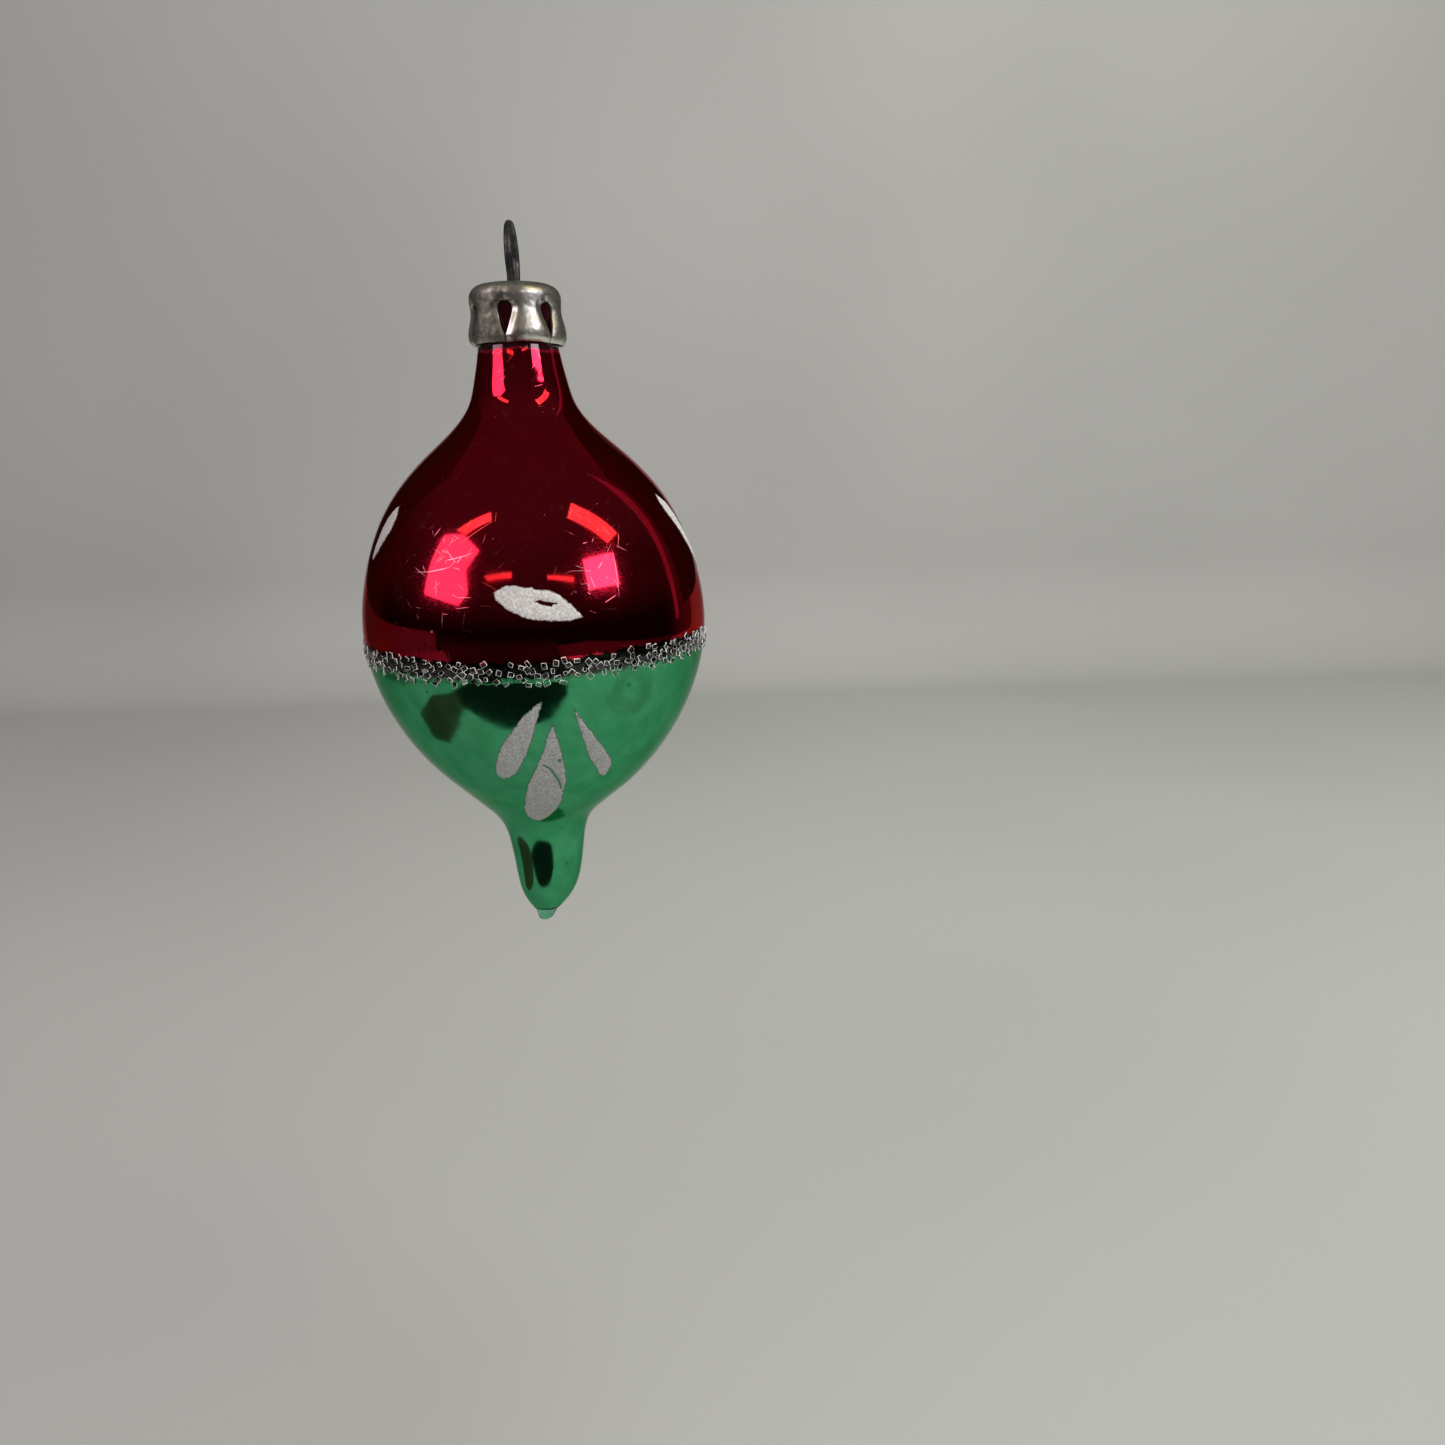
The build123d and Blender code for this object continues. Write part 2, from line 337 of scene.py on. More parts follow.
def vector_maths(tree, operation, *values, output=0):
    return node(tree, "ShaderNodeVectorMath", dict(enumerate(values)), operation=operation).outputs[output]


def between(tree, value, low, high, to_low=0.0, to_high=1.0):
    """Runs smoothly from to_low to to_high while value goes from low to high."""
    inputs = {"Value": value, "From Min": low, "From Max": high, "To Min": to_low, "To Max": to_high}
    return node(tree, "ShaderNodeMapRange", inputs, interpolation_type="SMOOTHSTEP").outputs["Result"]


def strongest(tree, masks):
    """The highest of several masks at each place."""
    total = masks[0]
    for mask in masks[1:]:
        total = maths(tree, "MAXIMUM", total, mask)
    return total


def shade(colour, factor, lift=0.0):
    """A colour made darker or paler by a factor."""
    return tuple(min(1.0, c * factor + lift) for c in colour)


def blend_colours(tree, factor, first, second):
    made = node(tree, "ShaderNodeMix", data_type="RGBA", blend_type="MIX")
    for key, value in ((0, factor), (6, first), (7, second)):
        if isinstance(value, bpy.types.NodeSocket):
            tree.links.new(value, made.inputs[key])
        elif key:
            made.inputs[key].default_value = (*value[:3], 1)
        else:
            made.inputs[key].default_value = value
    return made.outputs[2]


def place(tree):
    """Object coordinates in millimetres: the row frame, the same for every piece."""
    coordinates = tree.nodes.new("ShaderNodeTexCoord").outputs["Object"]
    return vector_maths(tree, "MULTIPLY", coordinates, (1000, 1000, 1000))


def row_height(tree):
    """Height in the row frame, in millimetres."""
    return node(tree, "ShaderNodeSeparateXYZ", {0: place(tree)}).outputs["Z"]


def away_from(tree, azimuth, height):
    """Distance from a spot on the outside of the lacquer, in millimetres."""
    spot = tuple(surface_point(math.radians(azimuth), height, COAT_FACE))
    return vector_maths(tree, "DISTANCE", place(tree), spot, output=1)


def new_group(name, inputs, outputs):
    """A shader group with named sockets. Returns it, its input node and its output node."""
    group = bpy.data.node_groups.new(name, "ShaderNodeTree")
    for socket, default in inputs.items():
        made = group.interface.new_socket(socket, in_out="INPUT", socket_type="NodeSocketFloat")
        made.default_value = default
    for socket in outputs:
        group.interface.new_socket(socket, in_out="OUTPUT", socket_type="NodeSocketFloat")
    return group, group.nodes.new("NodeGroupInput"), group.nodes.new("NodeGroupOutput")


def group_cloud():
    """Soft blotches between two values."""
    inputs = {"Size": 3.0, "Detail": 3.0, "Contrast": 1.0, "Low": 0.0, "High": 1.0, "Shift": 0.0}
    tree, given, out = new_group("Cloud", inputs, ["Value"])
    at = vector_maths(tree, "ADD", place(tree), given.outputs["Shift"])
    scale = maths(tree, "DIVIDE", 1.0, given.outputs["Size"])
    inputs = {"Vector": at, "Scale": scale, "Detail": given.outputs["Detail"], "Roughness": 0.55}
    noisy = node(tree, "ShaderNodeTexNoise", inputs)
    half = maths(tree, "DIVIDE", 0.25, given.outputs["Contrast"])
    low, high = maths(tree, "SUBTRACT", 0.5, half), maths(tree, "ADD", 0.5, half)
    value = between(tree, noisy.outputs["Fac"], low, high, given.outputs["Low"], given.outputs["High"])
    tree.links.new(value, out.inputs["Value"])
    return tree


def group_scratches():
    """Short straight scratches, each with its own direction, gathered in patches."""
    inputs = {"Length": 5.0, "Width": 0.05, "Share": 0.5, "Shift": 0.0}
    tree, given, out = new_group("Scratches", inputs, ["Mask"])
    at = vector_maths(tree, "ADD", place(tree), given.outputs["Shift"])
    patch = node(tree, "ShaderNodeTexNoise", {"Vector": at, "Scale": 0.11, "Detail": 1.0})
    crowd = between(tree, patch.outputs["Fac"], 0.42, 0.62)
    layers = []
    for layer in range(4):
        moved = vector_maths(tree, "ADD", at, (11.3 * layer, 5.7 * layer, 8.1 * layer))
        size = maths(tree, "MULTIPLY", given.outputs["Length"], 1.0 - 0.17 * layer)
        scale = maths(tree, "DIVIDE", 1.0, size)
        cells = node(tree, "ShaderNodeTexVoronoi", {"Vector": moved, "Scale": scale})
        away = vector_maths(tree, "SUBTRACT", moved, cells.outputs["Position"])
        turned = vector_maths(tree, "SUBTRACT", cells.outputs["Color"], (0.5, 0.5, 0.5))
        turned = vector_maths(tree, "NORMALIZE", turned)
        across = maths(tree, "ABSOLUTE", vector_maths(tree, "DOT_PRODUCT", away, turned, output=1))
        line = between(tree, across, 0.0, given.outputs["Width"], 1.0, 0.0)
        span = maths(tree, "MULTIPLY", vector_maths(tree, "LENGTH", away, output=1), scale)
        end = between(tree, span, 0.18, 0.46, 1.0, 0.0)
        chance = node(tree, "ShaderNodeTexWhiteNoise", {"Vector": cells.outputs["Position"]})
        limit = maths(tree, "MULTIPLY", given.outputs["Share"], maths(tree, "ADD", 0.25, crowd))
        drawn = maths(tree, "MULTIPLY", maths(tree, "LESS_THAN", chance.outputs["Value"], limit), end)
        layers.append(maths(tree, "MULTIPLY", line, drawn))
    tree.links.new(strongest(tree, layers), out.inputs["Mask"])
    return tree


def group_specks():
    """Scattered small round specks."""
    inputs = {"Spacing": 2.0, "Radius": 0.15, "Share": 0.3, "Shift": 0.0}
    tree, given, out = new_group("Specks", inputs, ["Mask"])
    at = vector_maths(tree, "ADD", place(tree), given.outputs["Shift"])
    scale = maths(tree, "DIVIDE", 1.0, given.outputs["Spacing"])
    cells = node(tree, "ShaderNodeTexVoronoi", {"Vector": at, "Scale": scale})
    radius = maths(tree, "MULTIPLY", given.outputs["Radius"], scale)
    spot = between(tree, cells.outputs["Distance"], maths(tree, "MULTIPLY", radius, 0.6), radius, 1.0, 0.0)
    chosen = node(tree, "ShaderNodeSeparateColor", {"Color": cells.outputs["Color"]}).outputs[0]
    kept = maths(tree, "LESS_THAN", chosen, given.outputs["Share"])
    tree.links.new(maths(tree, "MULTIPLY", spot, kept), out.inputs["Mask"])
    return tree


def group_band_line():
    """Height above the wandering line along which the glitter was laid."""
    tree, _, out = new_group("Band Line", {}, ["Height"])
    at = node(tree, "ShaderNodeSeparateXYZ", {0: place(tree)})
    turn = maths(tree, "ARCTAN2", at.outputs["X"], maths(tree, "MULTIPLY", at.outputs["Y"], -1.0))
    once = maths(tree, "MULTIPLY", maths(tree, "COSINE", turn), -BAND_SWING)
    thrice = maths(tree, "COSINE", maths(tree, "MULTIPLY", turn, 3.0))
    thrice = maths(tree, "MULTIPLY", thrice, -BAND_RIPPLE)
    line = maths(tree, "ADD", maths(tree, "ADD", once, thrice), GIRTH_HEIGHT + BAND_LEVEL)
    tree.links.new(maths(tree, "SUBTRACT", at.outputs["Z"], line), out.inputs["Height"])
    return tree


def band_line(azimuth):
    """The same wandering line for mesh code: its height above the girth."""
    return BAND_LEVEL - BAND_SWING * np.cos(azimuth) - BAND_RIPPLE * np.cos(3 * azimuth)


def effect(tree, name, output, **inputs):
    """Places a shared shader group in a material, with this material's own values."""
    makers = {
        "Cloud": group_cloud, "Scratches": group_scratches,
        "Specks": group_specks, "Band Line": group_band_line,
    }
    made = node(tree, "ShaderNodeGroup", node_tree=bpy.data.node_groups.get(name) or makers[name]())
    for key, value in inputs.items():
        made.inputs[key.capitalize()].default_value = value
    return made.outputs[output]


def bump(tree, height, strength, distance, normal=None):
    inputs = {"Height": height, "Strength": strength, "Distance": distance * MM}
    if normal is not None:
        inputs["Normal"] = normal
    return node(tree, "ShaderNodeBump", inputs).outputs["Normal"]


# Materials ---------------------------------------------------------------------------------------------


def new_material(name, preview):
    """An empty material with a Principled shader. Returns the material, its tree and the shader."""
    material = bpy.data.materials.new(name)
    material.use_nodes = True
    material.diffuse_color = (*preview[:3], 1)
    tree = material.node_tree
    shader = next(n for n in tree.nodes if n.type == "BSDF_PRINCIPLED")
    return material, tree, shader


def feed(tree, shader, **sockets):
    """Sets or links the shader's sockets; underscores in names stand for spaces."""
    for key, value in sockets.items():
        socket = shader.inputs[key.replace("_", " ")]
        if isinstance(value, bpy.types.NodeSocket):
            tree.links.new(value, socket)
        else:
            socket.default_value = value


def overlap_zone(tree, height, low, high):
    """1 where the two lacquers lie on each other and go black, with a ragged edge."""
    ragged = maths(tree, "ADD", height, effect(tree, "Cloud", "Value", size=0.9, low=-0.35, high=0.35))
    return between(tree, ragged, low, high)


def highlight_wear_zone(tree):
    """1 on the front of the shoulder round the two places where the window lamps show in the red, fading to 0
    around it. Scratches and scuffs gather there: partly wear, partly painted highlight haze.
    """
    zones = []
    for azimuth, height, reach in ((-21.0, 10.5, 9.5), (32.0, 10.5, 6.5)):
        zones.append(between(tree, away_from(tree, azimuth, height), 2.5, reach, 1.0, 0.0))
    return strongest(tree, zones)


def red_lacquer(settings):
    material, tree, shader = new_material("Red lacquer over silver", settings.red)
    cloud = effect(tree, "Cloud", "Value", size=7.0, detail=4.0)
    colour = blend_colours(tree, cloud, settings.red, shade(settings.red, 0.80))
    long_marks = effect(tree, "Scratches", "Mask", length=9.0, width=0.05, share=0.75)
    fine_marks = effect(tree, "Scratches", "Mask", length=2.8, width=0.04, share=1.0, shift=31.0)
    wear_near_highlights = highlight_wear_zone(tree)
    # More scratches near the lamp reflections: partly wear, partly painted highlight haze
    worn = maths(tree, "ADD", 0.22, maths(tree, "MULTIPLY", wear_near_highlights, 0.9))
    marks = maths(tree, "MAXIMUM", maths(tree, "MULTIPLY", long_marks, 0.7), fine_marks)
    marks = maths(tree, "MULTIPLY", marks, worn, clamp=True)
    dust = effect(tree, "Specks", "Mask", spacing=1.1, radius=0.10, share=0.26)
    motes = effect(tree, "Specks", "Mask", spacing=3.6, radius=0.22, share=0.16, shift=5.0)
    dust = maths(tree, "MAXIMUM", dust, motes)
    # Pale scratches, crowded round the lamp reflections: wear, and partly a painted highlight haze
    colour = blend_colours(tree, maths(tree, "MULTIPLY", marks, 0.60), colour, (0.95, 0.62, 0.68))
    colour = blend_colours(tree, maths(tree, "MULTIPLY", dust, 0.45), colour, (0.70, 0.45, 0.47))
    height = effect(tree, "Band Line", "Height")
    colour = blend_colours(tree, overlap_zone(tree, height, 1.55, 1.25), colour, (0.004, 0.004, 0.004))
    ragged = effect(tree, "Cloud", "Value", size=1.6, low=-0.25, high=0.25, shift=9.0)
    up = maths(tree, "ADD", row_height(tree), ragged)
    silvered = between(tree, up, GIRTH_HEIGHT + 35.1, GIRTH_HEIGHT + 35.6, 1.0, 0.0)
    # Above the silvering's end the red turns near-black: dark lacquer on bare glass, made darker still as
    # painted shade under the cap
    colour = blend_colours(tree, silvered, (0.018, 0.0015, 0.003), colour)
    haze = effect(tree, "Cloud", "Value", size=5.0, detail=5.0, low=0.03, high=0.07, shift=12.0)
    rough = maths(tree, "ADD", haze, maths(tree, "MULTIPLY", marks, 0.30))
    rough = maths(tree, "ADD", rough, maths(tree, "MULTIPLY", dust, 0.4))
    scuffs = effect(
        tree, "Cloud", "Value", size=0.12, detail=2.0, contrast=1.2, low=-0.22, high=0.30, shift=21.0
    )
    scuffs = maths(tree, "MULTIPLY", maths(tree, "MAXIMUM", scuffs, 0.0), wear_near_highlights)
    rough = maths(tree, "ADD", rough, maths(tree, "MULTIPLY", scuffs, 0.5))
    ripple = effect(tree, "Cloud", "Value", size=9.0, detail=1.0, contrast=0.5)
    normal = bump(tree, ripple, 0.5, 0.05)
    normal = bump(tree, marks, 0.3, 0.02, normal)
    feed(
        tree, shader, Base_Color=colour, Metallic=silvered, Roughness=rough, Normal=normal,
        Coat_Weight=between(tree, silvered, 0.0, 1.0, 1.0, 0.12), Coat_Roughness=0.03, Coat_IOR=1.5,
        Specular_Tint=(0.50, 0.16, 0.18, 1),
    )
    return material


def green_lacquer(settings):
    material, tree, shader = new_material("Green lacquer over silver", settings.green)
    green = settings.green
    pale = shade(green, 1.12, 0.03)
    deep = (green[0] * 0.6, green[1] * 0.62, green[2] * 0.6)
    colour = blend_colours(tree, effect(tree, "Cloud", "Value", size=4.0, detail=5.0), green, pale)
    worn = effect(tree, "Cloud", "Value", size=2.6, detail=4.0, contrast=2.2, shift=40.0)
    colour = blend_colours(tree, maths(tree, "MULTIPLY", worn, 0.30), colour, deep)
    colour = water_mark(tree, colour)
    dirt = effect(tree, "Specks", "Mask", spacing=2.4, radius=0.17, share=0.22, shift=3.0)
    marks = effect(tree, "Scratches", "Mask", length=6.0, width=0.06, share=0.35, shift=9.0)
    colour = blend_colours(tree, maths(tree, "MULTIPLY", dirt, 0.7), colour, (0.012, 0.06, 0.03))
    colour = blend_colours(tree, maths(tree, "MULTIPLY", marks, 0.35), colour, (0.01, 0.16, 0.07))
    height = effect(tree, "Band Line", "Height")
    colour = blend_colours(tree, overlap_zone(tree, height, -0.85, -0.50), colour, (0.004, 0.006, 0.004))
    end = between(tree, row_height(tree), GIRTH_HEIGHT - 36.95, GIRTH_HEIGHT - 36.55, 0.85, 0.0)
    colour = blend_colours(tree, end, colour, (0.004, 0.06, 0.025))
    rough = effect(tree, "Cloud", "Value", size=3.0, detail=4.0, low=0.08, high=0.15, shift=20.0)
    rough = maths(tree, "ADD", rough, maths(tree, "MULTIPLY", dirt, 0.3))
    ripple = effect(tree, "Cloud", "Value", size=7.0, detail=2.0, contrast=0.6, shift=2.0)
    normal = bump(tree, ripple, 0.6, 0.10)
    feed(
        tree, shader, Base_Color=colour, Metallic=1.0, Roughness=rough, Normal=normal,
        Coat_Weight=0.15, Coat_Roughness=0.06, Coat_IOR=1.5, Specular_Tint=(0.40, 0.60, 0.46, 1),
    )
    return material


def water_mark(tree, colour):
    """A dried drop on the green: a pale disc, a dusky ring round it, a dark spot, and a faint tide line."""
    wander = effect(tree, "Cloud", "Value", size=1.8, detail=3.0, low=-0.45, high=0.45, shift=5.0)
    marks = (
        (39.2, -3.8, 1.75, 2.7, 0.90, 0.30),
        (37.8, -2.9, 0.0, 0.0, 0.42, 0.75),
        (35.6, -2.3, 0.0, 0.0, 0.36, 0.4),
        (24.3, -0.5, 11.2, 11.2, 0.22, 0.24),
    )
    for azimuth, height, inner, outer, edge, strength in marks:
        away = away_from(tree, azimuth, height)
        if inner < 5:
            away = maths(tree, "ADD", away, maths(tree, "MULTIPLY", wander, 0.2 if inner == 0 else 1.0))
        rising = between(tree, away, inner - edge, inner, 0.0, strength) if inner else strength
        falling = between(tree, away, outer, outer + edge, 1.0, 0.0)
        mask = maths(tree, "MULTIPLY", rising, falling)
        if inner > 5:
            near = between(tree, away_from(tree, 46.0, -7.7), 6.0, 9.5, 1.0, 0.0)
            mask = maths(tree, "MULTIPLY", mask, near)
        colour = blend_colours(tree, mask, colour, (0.03, 0.16, 0.07))
    return colour


def mirror_silver():
    material, tree, shader = new_material("Mirror silvering", (0.85, 0.85, 0.83))
    blotch = effect(tree, "Cloud", "Value", size=1.5, detail=5.0, contrast=2.0, shift=8.0)
    colour = blend_colours(tree, blotch, (0.86, 0.86, 0.84), (0.55, 0.54, 0.50))
    rough = effect(tree, "Cloud", "Value", size=1.0, low=0.08, high=0.30, shift=14.0)
    feed(tree, shader, Base_Color=colour, Metallic=1.0, Roughness=rough)
    return material


def clear_glass(settings):
    material, tree, shader = new_material("Blown glass", (0.8, 0.95, 0.88))
    tinted = between(tree, row_height(tree), GIRTH_HEIGHT - 37.0, GIRTH_HEIGHT - 35.0, 1.0, 0.0)
    colour = blend_colours(tree, tinted, (0.94, 0.98, 0.95), settings.nib)
    cloud = effect(tree, "Cloud", "Value", size=1.0, low=0.02, high=0.09, shift=6.0)
    normal = bump(tree, effect(tree, "Cloud", "Value", size=0.9, detail=2.0), 0.5, 0.05)
    feed(tree, shader, Base_Color=colour, Roughness=cloud, Normal=normal, IOR=1.5, Transmission_Weight=1.0)
    return material


def glitter_bed_clear():
    material, tree, shader = new_material("Glitter adhesive", (0.5, 0.5, 0.48))
    cloud = effect(tree, "Cloud", "Value", size=0.8, detail=3.0, contrast=1.5)
    colour = blend_colours(tree, cloud, (0.86, 0.87, 0.84), (0.60, 0.62, 0.58))
    rough = effect(tree, "Cloud", "Value", size=0.5, low=0.0, high=0.07, shift=3.0)
    feed(tree, shader, Base_Color=colour, Roughness=rough, IOR=1.47, Transmission_Weight=1.0)
    return material


def glitter_glass():
    material, tree, shader = new_material("Glass grains", (0.8, 0.8, 0.78))
    cloud = effect(tree, "Cloud", "Value", size=1.1, detail=1.0, contrast=3.0, shift=2.0)
    colour = blend_colours(tree, cloud, (0.97, 0.97, 0.96), (0.84, 0.85, 0.84))
    rough = effect(tree, "Cloud", "Value", size=0.6, low=0.0, high=0.12, shift=9.0)
    feed(tree, shader, Base_Color=colour, Roughness=rough, IOR=1.52, Transmission_Weight=1.0)
    return material


def grain_edges():
    """The broken, frosted edges of the grains: frosted grey, with near-white patches that are painted glints
    where the edges catch the light.
    """
    material, tree, shader = new_material("Grain edges", (0.85, 0.85, 0.83))
    # Near-white patches are painted glints; the grey is the frosted edge
    frost_and_painted_glint = effect(tree, "Cloud", "Value", size=0.7, detail=2.0, contrast=3.0, shift=13.0)
    colour = blend_colours(tree, frost_and_painted_glint, (0.97, 0.98, 0.96), (0.45, 0.46, 0.45))
    rough = effect(tree, "Cloud", "Value", size=0.5, low=0.15, high=0.45, shift=4.0)
    feed(tree, shader, Base_Color=colour, Metallic=0.0, Roughness=rough)
    return material


def brushed_paint(name, tone, under):
    """Matt paint with a grainy surface, thin along its rim and darkened there towards the under colour."""
    material, tree, shader = new_material(name, tone)
    grain = effect(tree, "Cloud", "Value", size=0.28, detail=4.0, contrast=1.2)
    wash = effect(tree, "Cloud", "Value", size=2.2, detail=3.0, shift=17.0)
    low = shade(tone, 0.66)
    colour = blend_colours(tree, grain, low, shade(tone, 1.20))
    colour = blend_colours(tree, maths(tree, "MULTIPLY", wash, 0.30), colour, low)
    pits = effect(tree, "Specks", "Mask", spacing=0.62, radius=0.10, share=0.30)
    colour = blend_colours(tree, maths(tree, "MULTIPLY", pits, 0.7), colour, under)
    rim = node(tree, "ShaderNodeAttribute", attribute_name="inward").outputs["Fac"]
    rim = maths(tree, "ADD", rim, effect(tree, "Cloud", "Value", size=0.22, low=-0.07, high=0.05, shift=3.0))
    colour = blend_colours(tree, between(tree, rim, 0.02, 0.11, 0.8, 0.0), colour, under)
    normal = bump(tree, grain, 0.5, 0.03)
    feed(tree, shader, Base_Color=colour, Roughness=0.78, Normal=normal)
    return material


def tinplate(settings):
    material, tree, shader = new_material("Tarnished tinplate", settings.metal)
    mottled = effect(tree, "Cloud", "Value", size=0.7, detail=6.0, contrast=1.8)
    broad = effect(tree, "Cloud", "Value", size=4.5, detail=2.0, contrast=1.6, shift=4.0)
    tarnish = maths(tree, "ADD", maths(tree, "MULTIPLY", mottled, 0.45), maths(tree, "MULTIPLY", broad, 0.5))
    # The attribute holds bright rubbed edges, which are wear, and each tab's painted highlight and shade
    burnish_and_painted_light = node(tree, "ShaderNodeAttribute", attribute_name="burnish_and_painted_light").outputs["Fac"]
    tarnish = maths(tree, "SUBTRACT", tarnish, burnish_and_painted_light, clamp=True)
    colour = blend_colours(tree, tarnish, settings.metal, settings.patina)
    bright = maths(tree, "MULTIPLY", burnish_and_painted_light, 0.8)
    colour = blend_colours(tree, bright, colour, (0.86, 0.84, 0.78))
    pits = effect(tree, "Specks", "Mask", spacing=0.55, radius=0.10, share=0.30)
    colour = blend_colours(tree, maths(tree, "MULTIPLY", pits, 0.5), colour, (0.10, 0.09, 0.08))
    hair = effect(tree, "Scratches", "Mask", length=2.6, width=0.05, share=0.9, shift=2.0)
    rough = maths(tree, "ADD", 0.40, maths(tree, "MULTIPLY", tarnish, 0.18))
    rough = maths(tree, "SUBTRACT", rough, maths(tree, "MULTIPLY", bright, 0.10))
    dents = effect(tree, "Cloud", "Value", size=2.4, detail=2.0, shift=7.0)
    normal = bump(tree, dents, 0.5, 0.12)
    normal = bump(tree, effect(tree, "Cloud", "Value", size=0.35, detail=3.0), 0.35, 0.02, normal)
    normal = bump(tree, hair, 0.4, 0.015, normal)
    feed(tree, shader, Base_Color=colour, Metallic=1.0, Roughness=rough, Normal=normal)
    return material


def oxidised_steel(settings):
    material, tree, shader = new_material("Oxidised steel wire", settings.steel)
    streak = effect(tree, "Cloud", "Value", size=0.5, detail=5.0, contrast=1.4)
    rubbed = effect(tree, "Cloud", "Value", size=2.0, detail=3.0, contrast=2.5, shift=19.0)
    colour = blend_colours(tree, streak, settings.steel, shade(settings.steel, 0.45))
    colour = blend_colours(tree, maths(tree, "MULTIPLY", rubbed, 0.5), colour, (0.22, 0.22, 0.215))
    pits = effect(tree, "Specks", "Mask", spacing=0.4, radius=0.08, share=0.3)
    colour = blend_colours(tree, maths(tree, "MULTIPLY", pits, 0.6), colour, (0.05, 0.035, 0.025))
    rough = effect(tree, "Cloud", "Value", size=0.7, low=0.34, high=0.58, shift=5.0)
    normal = bump(tree, effect(tree, "Cloud", "Value", size=0.3, detail=4.0, shift=1.0), 0.6, 0.03)
    feed(tree, shader, Base_Color=colour, Metallic=0.85, Roughness=rough, Normal=normal)
    return material


def backdrop_paper(settings):
    material, tree, shader = new_material("Backdrop paper", settings.paper)
    cloud = effect(tree, "Cloud", "Value", size=260.0, detail=1.0)
    colour = blend_colours(tree, cloud, settings.paper, shade(settings.paper, 0.93))
    feed(tree, shader, Base_Color=colour, Roughness=0.9)
    return material


# Material of the dark sheets and shades that paint shade into the reflections, with a faint mottle
def shade_sheet(name, tone):
    material, tree, shader = new_material(name, tone)
    sheet_mottle = effect(tree, "Cloud", "Value", size=20.0, detail=3.0)
    feed(tree, shader, Base_Color=blend_colours(tree, sheet_mottle, tone, shade(tone, 1.5)), Roughness=1.0)
    return material


def softbox(name, tone, strength):
    material, tree, shader = new_material(name, tone)
    fall = effect(tree, "Cloud", "Value", size=300.0, detail=1.0)
    glow = blend_colours(tree, fall, tone, shade(tone, 0.85))
    feed(
        tree, shader, Base_Color=(0, 0, 0, 1), Roughness=1.0,
        Emission_Color=glow, Emission_Strength=strength,
    )
    return material


# Shapes ------------------------------------------------------------------------------------------------


def curve_through(points, first=None, last=None):
    """A smooth curve through points. first and last are unit directions at its ends, or free if None."""
    points = np.array(points, float)
    run = np.r_[0, np.cumsum(np.linalg.norm(np.diff(points, axis=0), axis=1))]
    gap = np.diff(run)
    count = len(points)
    left, right = np.zeros((count, count)), np.zeros(points.shape)
    for i in range(1, count - 1):
        left[i, i - 1 : i + 2] = gap[i], 2 * (gap[i - 1] + gap[i]), gap[i - 1]
        behind, ahead = (points[i] - points[i - 1]) / gap[i - 1], (points[i + 1] - points[i]) / gap[i]
        right[i] = 3 * (gap[i] * behind + gap[i - 1] * ahead)
    for row, near, step, given in ((0, 1, gap[0], first), (-1, -2, gap[-1], last)):
        left[row, row] = 1 if given is not None else 2
        if given is not None:
            right[row] = np.array(given) / np.linalg.norm(given)
        else:
            left[row, near] = 1
            right[row] = 3 * (points[near] - points[row]) / step * (1 if row == 0 else -1)
    slope = np.linalg.solve(left, right)

    def at(distance):
        distance = np.clip(distance, 0, run[-1])
        i = np.clip(np.searchsorted(run, distance, "right") - 1, 0, count - 2)
        t = ((distance - run[i]) / gap[i])[:, None]
        g = gap[i][:, None]
        return (
            points[i] * (1 + 2 * t) * (1 - t) ** 2 + slope[i] * g * t * (1 - t) ** 2
            + points[i + 1] * t**2 * (3 - 2 * t) + slope[i + 1] * g * t**2 * (t - 1)
        )

    return at, run[-1]


def unit_directions(line):
    """Unit direction of a line at each of its points, and the unit normal to it."""
    along = np.gradient(line, axis=0)
    along /= np.linalg.norm(along, axis=1)[:, None]
    return along, np.column_stack([-along[:, 1], along[:, 0]])


def drift(x, y, z):
    """Smooth noise about zero, the same on every run."""
    return noise.noise(Vector((x, y, z)))


def glass_rings():
    """Radius, height and outward normal of the glass, evenly down from the neck's top to the nib."""
    at, length = curve_through(GLASS_OUTLINE, (0.05, -1), (-0.75, -1))
    body = at(np.linspace(0, length, int(length / RING_STEP)))
    neck = np.column_stack([np.full(14, body[0, 0]), np.linspace(NECK_TOP, body[0, 1] + 0.35, 14)])
    rings = np.vstack([neck, body])
    return rings, unit_directions(rings)[1]


RINGS, NORMALS = glass_rings()


def lean(height):
    """How far the glass's centre stands off the axis towards -X."""
    root = np.clip((height + 17.5) / -7.0, 0, 1)
    end = np.maximum(0, (-29.0 - height) / 10.5)
    return SPIKE_LEAN * root**2 * (3 - 2 * root) + TIP_LEAN * end**2


def skin(height):
    """Radius and outward normal of the bare glass at these heights."""
    up = RINGS[::-1, 1]
    columns = (RINGS[:, 0], NORMALS[:, 0], NORMALS[:, 1])
    return tuple(np.interp(height, up, column[::-1]) for column in columns)


def surface_point(azimuth, height, lift):
    """Points standing lift above the bare glass, in millimetres in the row frame."""
    radius, out, up = skin(height)
    radius = radius + lift * out
    z = height + lift * up
    x = radius * np.sin(azimuth) - lean(z)
    return np.stack([x, -radius * np.cos(azimuth), z + GIRTH_HEIGHT], axis=-1)


def offset_profile(lift, top, foot):
    """The glass outline moved outwards by lift and cut at two heights, from the top down."""
    moved = RINGS + NORMALS * lift
    inside = moved[(moved[:, 1] < top - 0.02) & (moved[:, 1] > foot + 0.02)]
    radii = [np.interp(z, moved[::-1, 1], moved[::-1, 0]) for z in (top, foot)]
    return np.vstack([[radii[0], top], inside, [radii[1], foot]])


